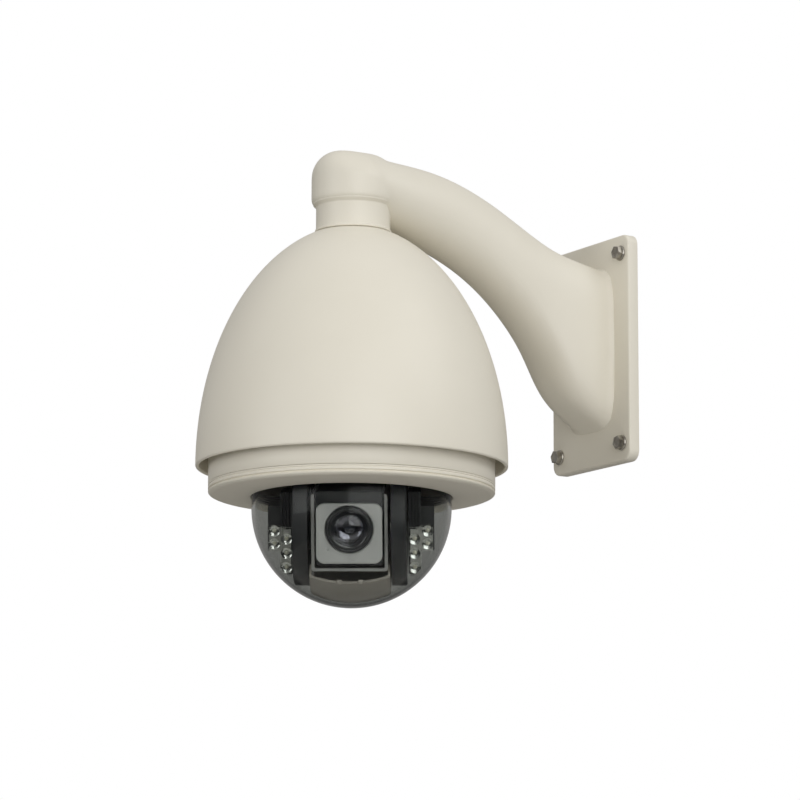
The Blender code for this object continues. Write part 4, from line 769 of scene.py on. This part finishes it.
outer = bell(shield_low.z + 1.2, shield_high.z - 0.3, 56, 0.0)
inner = [p for p in bell(shield_low.z + 1.2, shield_high.z - 0.3, 44, SHIELD_WALL)
         if p[1] < shield_high.z - SHIELD_WALL]
shield_lip_r = SHIELD_R - SHIELD_WALL / 2
rounded_lip = arc((shield_lip_r, shield_low.z + 1.5), SHIELD_WALL / 2, 170, 370, 8)
roof = [(25.0, shield_high.z), (22.3, shield_high.z - 0.3), (22.0, shield_high.z - 0.8),
        (22.0, shield_high.z - SHIELD_WALL), (26.0, shield_high.z - SHIELD_WALL)]
shield = turn("bell_shield", rounded_lip + outer[1:] + roof + inner[::-1][:-1], 192)
done(shield, at_dome, "housing", cream, ["sun_shield"], 50)

# %% Inner drum
drum_low, drum_high = span("inner_housing", at_dome)
DRUM_R = drum_high.x
AIR_GAP = 6.0
DRUM_WALL = 3.5


def drum_radius(z):
    return min(DRUM_R, shield_radius(z) - SHIELD_WALL - AIR_GAP)


drum_rise = drum_high.z - drum_low.z - 0.6
levels = [drum_low.z + 0.6 + drum_rise * math.sin(math.pi / 2 * i / 40) for i in range(41)]
outside = [(drum_radius(z), z) for z in levels]
inside = [(drum_radius(z) - DRUM_WALL, z) for z in levels if z < drum_high.z - DRUM_WALL]
drum = turn("housing_drum", [(DRUM_R - DRUM_WALL, drum_low.z), (DRUM_R - 0.5, drum_low.z)] + outside
            + [(16.0, drum_high.z), (16.0, drum_high.z - DRUM_WALL)] + inside[::-1], 144)
done(drum, at_dome, "housing", cream, ["inner_housing"], 40)

# %% Trim ring
trim_low, trim_high = span("trim_ring", at_dome)
TRIM_R = trim_high.x
bubble_low, bubble_high = span("bubble", at_dome)
MOUTH_R = 77.6
edge_z = trim_low.z + 2.3
top_z = trim_high.z
trim_outline = softened([
    (TRIM_R - 3.0, top_z, 0), (TRIM_R, top_z, 0.5),
    (TRIM_R, top_z - 1.0, 0.3), (TRIM_R - 0.7, top_z - 1.5, 0.3), (TRIM_R, top_z - 2.1, 0.4),
    (TRIM_R, edge_z + 3.5, 0.4), (TRIM_R - 1.3, edge_z + 3.1, 0.3), (TRIM_R - 1.3, edge_z + 2.4, 0.3),
    (TRIM_R, edge_z + 2.0, 0.4), (TRIM_R - 0.2, edge_z + 0.8, 1.0), (TRIM_R - 3.2, edge_z - 0.5, 1.2),
    (MOUTH_R + 3.0, trim_low.z + 0.1, 0), (MOUTH_R, trim_low.z, 0.7), (MOUTH_R, trim_low.z + 2.1, 0),
    (92.0, trim_low.z + 2.1, 0), (92.0, trim_low.z + 6.0, 0), (100.0, trim_low.z + 6.0, 0),
    (100.0, trim_low.z + 3.1, 0), (TRIM_R - 3.0, trim_low.z + 3.1, 0)])
trim = turn("trim_bezel", trim_outline, 192)
done(trim, at_dome, "housing", cream, ["trim_ring"], 40)

# %% [markdown]
# ## Smoked bubble
# The bubble is a thin, blow-moulded acrylic shell: a half sphere, a short straight skirt and a
# flange that the clamp ring holds. It is turned as one closed wall, so light bends through both
# of its faces and the rim darkens as it does on the real one.

# %% Bubble
flange_top = bubble_high.z
flange_r = bubble_high.x
BUBBLE_R = flange_r - 9.0
BUBBLE_WALL = 2.5
bubble_middle = bubble_low.z + BUBBLE_R
outline = arc((0, bubble_middle), BUBBLE_R, -90, 0, 40)
outline += [(BUBBLE_R, flange_top - 3.2), (BUBBLE_R + 0.7, flange_top - 2.5)]
outline += [(flange_r, flange_top - 2.5), (flange_r, flange_top), (BUBBLE_R - BUBBLE_WALL, flange_top)]
outline += arc((0, bubble_middle), BUBBLE_R - BUBBLE_WALL, 0, -90, 40)
outline[0] = (0.0, bubble_middle - BUBBLE_R)
outline[-1] = (0.0, bubble_middle - BUBBLE_R + BUBBLE_WALL)
bubble = turn("smoked_dome", outline, 160)
done(bubble, at_dome, "housing", smoke, ["bubble"], 50)

# %% [markdown]
# ## Zoom block
# The camera itself is a black block behind a silver-grey bezel. The bezel is a slab with round
# corners, a large hole with a softened edge, and a few small marks of its own: a seam under the
# lens, a slot and a screw hole.

# %% Body and bezel
body_low, body_high = span("camera_body", at_tilt)
block_body = block("zoom_block_case", body_low, body_high, 2.0, 0.6)
cut(block_body, block("hollow", (body_low.x + 2, body_low.y + 2, body_low.z + 2),
                      (body_high.x - 2, body_high.y + 5, body_high.z - 2)))
cut(block_body, bar(14.8, (0, body_low.y - 5, 0), (0, body_low.y + 5, 0), 64))
for z in (-18.0, -9.0, 9.0, 18.0):
    for sign in (-1, 1):
        x = sign * body_high.x
        cut(block_body, block("vent", (x - 0.6, -25.0, z - 0.8), (x + 0.6, 25.0, z + 0.8)))
done(block_body, at_tilt, "camera_head", black, ["camera_body"], 35)

bezel_low, bezel_high = span("front_bezel", at_tilt)
ring_low, ring_high = span("lens_ring", at_tilt)
RING_R = ring_high.x
bezel = block("lens_bezel", bezel_low, bezel_high, 6.5, 0.7, 1, 10)
cut(bezel, bar(RING_R + 0.35, (0, bezel_low.y - 5, 0), (0, bezel_high.y + 5, 0), 96))
chamfer = turn("chamfer", [(0, -1.0), (RING_R + 0.3, -1.0), (RING_R + 1.4, 0.4), (0, 0.4)], 96)
cut(bezel, aim_forward(chamfer, (0, bezel_low.y, 0)))
cut(bezel, block("seam", (-0.22, bezel_low.y - 1, bezel_low.z - 1),
                 (0.22, bezel_low.y + 0.5, -RING_R + 2)))
cut(bezel, block("slot", (1.8, bezel_low.y - 1, bezel_low.z + 2.6),
                 (4.8, bezel_low.y + 0.9, bezel_low.z + 3.5), 0.4))
cut(bezel, bar(1.0, (-16.0, bezel_low.y - 1, -15.1), (-16.0, bezel_low.y + 1.2, -15.1), 24))
done(bezel, at_tilt, "camera_head", bezel_grey, ["front_bezel"], 35)

# %% [markdown]
# The lens ring is a black turned barrel with grooves on its rim and a stepped, ribbed throat
# that leads in to the glass. The front glass is clear, domed in front and flat behind, with a
# bright retaining ring round it. Behind it sit a polished bowl and a dark pupil.

# %% Lens ring and glass
ring_front = -ring_low.y
ring_back = -ring_high.y
throat = [(10.6, ring_back, 0), (RING_R, ring_back, 0), (RING_R, ring_front - 1.3, 0.3)]
throat += [(RING_R - 0.5, ring_front - 1.1, 0.2), (RING_R - 0.3, ring_front - 0.6, 0.2),
           (RING_R - 1.1, ring_front, 0.4)]
throat += [(15.2, ring_front, 0.3), (14.7, ring_front - 1.6, 0.2)]
for i in range(3):
    r, z = 14.7 - 0.15 * i, ring_front - 1.6 - 0.9 * i
    throat += [(r - 0.5, z - 0.1, 0), (r - 0.5, z - 0.45, 0), (r, z - 0.5, 0), (r, z - 0.85, 0)]
throat += [(14.0, ring_back + 1.2, 0), (10.6, ring_back + 1.2, 0)]
lens_ring = aim_forward(turn("lens_barrel", softened(throat, 3), 96))
done(lens_ring, at_tilt, "camera_head", black, ["lens_ring"], 35)

GLASS_R = 13.6
glass_back = ring_back + 1.5
SAG = 4.2
sphere_r = (GLASS_R ** 2 + SAG ** 2) / (2 * SAG)
opening = math.degrees(math.asin(GLASS_R / sphere_r))
dome_outline = arc((0, glass_back + 0.9 + SAG - sphere_r), sphere_r, 90 - opening, 90, 16)
dome_outline[-1] = (0.0, dome_outline[-1][1])
glass_outline = [(0, glass_back), (GLASS_R, glass_back)] + dome_outline
front_glass = aim_forward(turn("front_glass", glass_outline, 96))
done(front_glass, at_tilt, "camera_head", lens_clear, ["front_lens"], 30)

# Through the front glass one sees a polished bowl and, in its middle, the dark pupil.
BOWL_R, PUPIL_R, BOWL_DEPTH = 10.3, 4.3, 5.2
bowl = [(BOWL_R - (BOWL_R - PUPIL_R) * (1 - math.cos(a)), ring_back + 1.2 - BOWL_DEPTH * math.sin(a))
        for a in [math.pi / 2 * i / 14 for i in range(15)]]
bowl_outline = bowl + [(r + 0.25, z - 0.35) for r, z in bowl[::-1]]
done(aim_forward(turn("inner_bowl", bowl_outline, 64)), at_tilt, "camera_head", bowl_grey,
     (), 50)
pupil_z = ring_back + 1.2 - BOWL_DEPTH
pupil_outline = [(0, pupil_z - 1.2), (PUPIL_R - 0.1, pupil_z - 1.2), (PUPIL_R - 0.1, pupil_z - 0.6)]
pupil_outline += [(3.2, pupil_z + 0.1), (1.8, pupil_z + 0.5), (0, pupil_z + 0.65)]
done(aim_forward(turn("pupil", pupil_outline, 48)), at_tilt, "camera_head", coated,
     (), 50)
rim = arc((GLASS_R + 0.45, glass_back + 1.2), 0.42, 0, 360, 12)[:-1]
done(aim_forward(turn("retaining_ring", rim, 96)), at_tilt, "camera_head", bright_ring,
     (), 50)

# %% [markdown]
# ## Cradle and chin cover
# A folded sheet cradle holds the block, and its side plates show as pale strips beside the
# bezel. Below it hangs the chin cover: a channel section swept round the tilt axis by
# the spin tool, with two small catches on its front edge.

# %% Cradle
cradle_low, cradle_high = span("camera_cradle", at_tilt)
SHEET_T = 2.3
cradle = block("sheet_cradle", cradle_low, cradle_high, 2.2, 0.0, 1, 4)
cut(cradle, block("inside", (cradle_low.x + SHEET_T, cradle_low.y - 5, cradle_low.z + SHEET_T),
                  (cradle_high.x - SHEET_T, cradle_high.y + 5, cradle_high.z + 9), 1.2, 0.0, 1, 3))
for y in (-24.0, 22.0):
    for z in (-20.0, 14.0):
        cut(cradle, bar(2.0, (cradle_low.x - 5, y, z), (cradle_high.x + 5, y, z), 24))
done(cradle, at_tilt, "camera_head", sheet, ["camera_cradle"], 30)

# %% Chin cover
chin_low, chin_high = span("chin_cover", at_tilt)
CHIN_HALF = chin_high.x
CHIN_R = 60.0          # at the side flanges; the crown between them is part of a sphere
CHIN_EDGE_R = 48.0
CHIN_WALL = 2.2
CHIN_START, CHIN_SWEEP = 38.0, 120.0
SPHERE_UP = 6.1        # centre of the crown's sphere above the tilt axis


def crowned(inward):
    """Points across the crown, from side to side, as (x, radius)."""
    crown = math.hypot(CHIN_HALF, CHIN_R + SPHERE_UP)
    half = CHIN_HALF - inward
    spots = [half * (i / 12 - 1) for i in range(25)]
    return [(x, math.sqrt(crown ** 2 - x ** 2) - SPHERE_UP - inward, 0.0) for x in spots]


def chin_section():
    """The channel's cross-section as (x, radius) points, with rounded outer corners."""
    outside = crowned(0.0)
    outside[0], outside[-1] = (*outside[0][:2], 1.6), (*outside[-1][:2], 1.6)
    flange = CHIN_HALF - 1.5
    low = CHIN_R - CHIN_WALL
    inside = [p for p in crowned(CHIN_WALL)[::-1] if abs(p[0]) < flange - 1.0]
    points = [(-CHIN_HALF, CHIN_EDGE_R, 0)] + outside
    points += [(CHIN_HALF, CHIN_EDGE_R, 0), (flange, CHIN_EDGE_R, 0), (flange, low, 0.8)]
    points += inside + [(-flange, low, 0.8), (-flange, CHIN_EDGE_R, 0)]
    return softened(points, 4)


def swept_chin(name):
    """Extrude a vertex round the section, fill it, and spin it round the tilt axis."""
    obj = start_vertex(name)
    extrude_through([(x, -r, 0) for x, r in chin_section()])
    bpy.ops.mesh.select_all(action="SELECT")
    bpy.ops.mesh.edge_face_add()
    turn_start = Matrix.Rotation(math.radians(CHIN_START), 3, "X")
    mesh = bmesh.from_edit_mesh(obj.data)
    bmesh.ops.rotate(mesh, verts=mesh.verts, matrix=turn_start)
    bmesh.update_edit_mesh(obj.data)
    bpy.ops.mesh.select_all(action="SELECT")
    bpy.ops.mesh.spin(steps=72, angle=math.radians(CHIN_SWEEP), center=(0, 0, 0), axis=(-1, 0, 0))
    bpy.ops.mesh.select_all(action="SELECT")
    bpy.ops.mesh.remove_doubles(threshold=1e-4)
    bpy.ops.mesh.normals_make_consistent(inside=False)
    bpy.ops.object.mode_set(mode="OBJECT")
    return obj


chin = swept_chin("chin_shell")
lean = math.radians(CHIN_START)
for x in (-7.5, 8.5):
    catch = block("catch", (x - 1.8, -1.6, -2.0), (x + 1.8, 1.6, 1.4), 0.5, 0.3, 0, 2)
    catch_r = math.sqrt(math.hypot(CHIN_HALF, CHIN_R + SPHERE_UP) ** 2 - x ** 2) - SPHERE_UP - 1.6
    catch.location = (0, -catch_r * math.cos(lean), -catch_r * math.sin(lean))
    apply_place(catch)
    join(chin, catch)
done(chin, at_tilt, "camera_head", chin_grey, ["chin_cover"], 35)

# %% [markdown]
# ## Yoke arms
# Two black channel arms carry the tilting head. Each is a slab that we outline with a round
# lower end and hollow out on the camera's side. Both have a hole for a tilt shaft, and the left
# one has a second hole for the tilt motor.

# %% Yoke arms
yoke_low, yoke_high = span("yoke_right", at_yoke)
YOKE_R = -yoke_low.z
YOKE_IN, YOKE_OUT = yoke_low.x, yoke_high.x
YOKE_TOP = yoke_high.z
TOP_HALF = 44.0
SHOULDER_Z = 12.0      # where the round lower end meets the straight sides
TILT_SHAFT_HOLE_R = 5.6
MOTOR_HOLE_R = 3.3


def yoke_plate(name, inset, x0, x1):
    """The arm's outline as a face, extruded across."""
    r = YOKE_R - inset
    top = YOKE_TOP - inset
    outline = arc((0, 0), r, 180, 360, 48)
    outline += [(r, SHOULDER_Z), (TOP_HALF - inset, top), (inset - TOP_HALF, top), (-r, SHOULDER_Z)]
    obj = start_vertex(name)
    extrude_through([(x0, y, z) for y, z in outline])
    bpy.ops.mesh.select_all(action="SELECT")
    bpy.ops.mesh.edge_face_add()
    bpy.ops.mesh.extrude_region_move(TRANSFORM_OT_translate={"value": (x1 - x0, 0, 0)})
    bpy.ops.mesh.select_all(action="SELECT")
    bpy.ops.mesh.normals_make_consistent(inside=False)
    bpy.ops.object.mode_set(mode="OBJECT")
    return obj


for word, sign in (("left", -1), ("right", 1)):
    arm = yoke_plate(f"yoke_arm_{word}", 0.0, sign * YOKE_IN, sign * YOKE_OUT)
    alone(arm)
    bpy.ops.object.mode_set(mode="EDIT")
    pick(arm, "EDGE", lambda e: all(abs(abs(v.co.x) - YOKE_OUT) < 0.01 for v in e.verts))
    bpy.ops.mesh.bevel(offset=1.4, segments=4, affect="EDGES")
    bpy.ops.object.mode_set(mode="OBJECT")
    cut(arm, yoke_plate("pocket", 2.5, sign * (YOKE_IN - 2), sign * (YOKE_OUT - 3)))
    cut(arm, bar(TILT_SHAFT_HOLE_R, (sign * YOKE_IN, 0, 0), (sign * (YOKE_OUT + 5), 0, 0), 48))
    if sign < 0:
        motor_low, motor_high = span("tilt_motor", at_yoke)
        z = (motor_low.z + motor_high.z) / 2
        cut(arm, bar(MOTOR_HOLE_R, (sign * YOKE_IN, 0, z), (sign * (YOKE_OUT + 5), 0, z), 32))
    done(arm, at_yoke, "pan_head", black, [f"yoke_{word}"], 35)

# %% [markdown]
# ## Infrared lamp heads
# Beside each yoke arm hangs a lamp head: a dark finned housing above, and below it a stepped
# panel of lamps. Every lamp is a silvered cup with a pale die in its centre, under its own
# round lens in one clear moulding.

# %% Lamp heads
lens_low, lens_high = span("led_lens_right", at_tilt)
case_low, case_high = span("led_housing_right", at_tilt)
STEP_X = 53.5
LAMP_IN, LAMP_OUT = lens_low.x, lens_high.x
DEEP, SHALLOW = 24.0, 16.0
LAMP_LOW, LAMP_TOP = lens_low.z, lens_high.z
STEP_LOW = -24.0
LAMPS = [(48.8, DEEP, -13.0), (48.8, DEEP, -24.0), (48.8, DEEP, -35.0),
         (58.5, SHALLOW, -8.5), (58.5, SHALLOW, -18.5)]
CASE_BACK = 12.0
SETBACK = 4.3          # the case's face, behind the face of the lens panel
PANE_T = 1.6
FINS, FIN_HALF, FIN_DEPTH = 4, 0.6, 6.5
LAMP_DOME = [(0, -0.8, 0), (4.3, -0.8, 0), (4.3, 0.9, 0.7), (2.6, 2.0, 0.8), (0, 2.2, 0)]
LAMP_CUP = [(1.6, -2.4), (2.4, -2.3), (3.2, -2.1), (3.9, -1.75), (4.1, -1.75), (4.1, -2.6), (1.6, -2.6)]
LAMP_DIE = [(0, -2.6), (1.4, -2.6), (1.4, -2.3), (1.0, -1.95), (0, -1.8)]


def mirrored_block(name, sign, x0, x1, y0, y1, z0, z1, corner=0.0, edge=0.0, along=1):
    low_x, high_x = sorted((sign * x0, sign * x1))
    return block(name, (low_x, y0, z0), (high_x, y1, z1), corner, edge, along, 3)


def cut_corner(obj, sign):
    """Slope the lower outer corner, so that the head clears the bubble as it tilts."""
    wedge = mirrored_block("wedge", sign, STEP_X, STEP_X + 20, -60, 60, LAMP_LOW - 20, STEP_LOW)
    cut(obj, wedge)
    slope = mirrored_block("slope", sign, 0, 20, -60, 60, -20, 0)
    slope.matrix_world = (Matrix.Translation((sign * (STEP_X - 6.0), 0, LAMP_LOW))
                          @ Matrix.Rotation(sign * math.radians(-45), 4, "Y"))
    apply_place(slope)
    cut(obj, slope)
    return obj


for word, sign in (("left", -1), ("right", 1)):
    deep_face, shallow_face = -DEEP + SETBACK, -SHALLOW + SETBACK
    case = mirrored_block(f"lamp_case_{word}", sign, case_low.x, 49.2, deep_face, CASE_BACK,
                          LAMP_LOW, case_high.z, 1.0)
    join(case, mirrored_block("upper", sign, 48.2, STEP_X, deep_face, CASE_BACK,
                              LAMP_TOP + 0.3, case_high.z, 0.6))
    join(case, mirrored_block("lower", sign, 47.2, STEP_X, shallow_face, CASE_BACK,
                              LAMP_LOW, LAMP_TOP + 1))
    join(case, mirrored_block("wing", sign, STEP_X - 1, LAMP_OUT, shallow_face, CASE_BACK,
                              STEP_LOW, 10.0, 0.8))
    for i in range(FINS):
        x = case_low.x + (STEP_X - case_low.x) * (i + 0.5) / FINS
        join(case, mirrored_block("fin", sign, x - FIN_HALF, x + FIN_HALF, -DEEP, -DEEP + FIN_DEPTH,
                                  LAMP_TOP + 1, case_high.z, 0.3))
    cut_corner(case, sign)
    done(case, at_tilt, "camera_head", black, [f"led_housing_{word}"], 35)

    pane = mirrored_block(f"lamp_lens_{word}", sign, LAMP_IN, STEP_X, -DEEP, -DEEP + PANE_T,
                          LAMP_LOW, LAMP_TOP, 0.6)
    join(pane, mirrored_block("riser", sign, STEP_X - PANE_T, STEP_X, -DEEP + 0.4,
                              -SHALLOW + PANE_T, LAMP_LOW, LAMP_TOP))
    join(pane, mirrored_block("step", sign, STEP_X - 1.2, LAMP_OUT, -SHALLOW, -SHALLOW + PANE_T,
                              STEP_LOW, LAMP_TOP, 0.6))
    for x, face, z in LAMPS:
        dome = turn("lamp_dome", softened(LAMP_DOME), 28)
        join(pane, aim_forward(dome, (sign * x, -face, z)))
    cut_corner(pane, sign)
    done(pane, at_tilt, "camera_head", lamp_clear, [f"led_lens_{word}"], 40)

    for number, (x, face, z) in enumerate(LAMPS, 1):
        cup = turn(f"lamp_cup_{word}_{number}", LAMP_CUP, 28)
        aim_forward(cup, (sign * x, -face, z))
        done(cup, at_tilt, "camera_head", reflector, (), 50)
        die = turn(f"lamp_die_{word}_{number}", LAMP_DIE, 20)
        aim_forward(die, (sign * x, -face, z))
        done(die, at_tilt, "camera_head", die_pale, (), 50)

# %% [markdown]
# ## Finishes for the inner works
# The remaining parts keep their engineering shapes and only need their finishes. The platter
# and the chassis are black as painted shade: the black stands in for the shade inside the dome, where the
# lamps would otherwise light them grey.

# %% Dress the remaining nodes
FINISH_OF = {
    # The platter and the chassis take this black as painted shade; the clamp ring and the neck adapter are
    # black anodised.
    anodised_and_painted_shade: ("pan_platter", "chassis_plate", "bubble_clamp_ring", "neck_adapter"),
    black: ("pan_motor", "slip_ring_stator", "terminal_block", "fan_frame", "fan_rotor", "pan_pulley",
            "tilt_motor", "tilt_pulley", "zoom_group", "focus_group"),
    zinc: ("neck_lock_screw", "clamp_screw_1", "clamp_screw_2", "clamp_screw_3", "pan_bearing_outer",
           "pan_bearing_inner", "guide_rod_1", "guide_rod_2", "tilt_shaft_left", "tilt_shaft_right"),
    sheet: ("pan_motor_pulley", "tilt_motor_pulley"),
    rubber: ("shield_spacer", "bubble_gasket", "pan_belt", "tilt_belt"),
    brass: ("slip_ring_rotor", "pan_bearing_cage"),
    board_green: ("power_board", "drive_board", "sensor_board"),
    board_white: ("led_board_left", "led_board_right"),
    coated: ("ir_cut_filter",),
}
dressed = 0
for finish, names in FINISH_OF.items():
    for name in names:
        node = frame["nodes"][name]
        node.data.materials.clear()
        node.data.materials.append(finish)
        dressed += 1
print("dressed nodes:", dressed)
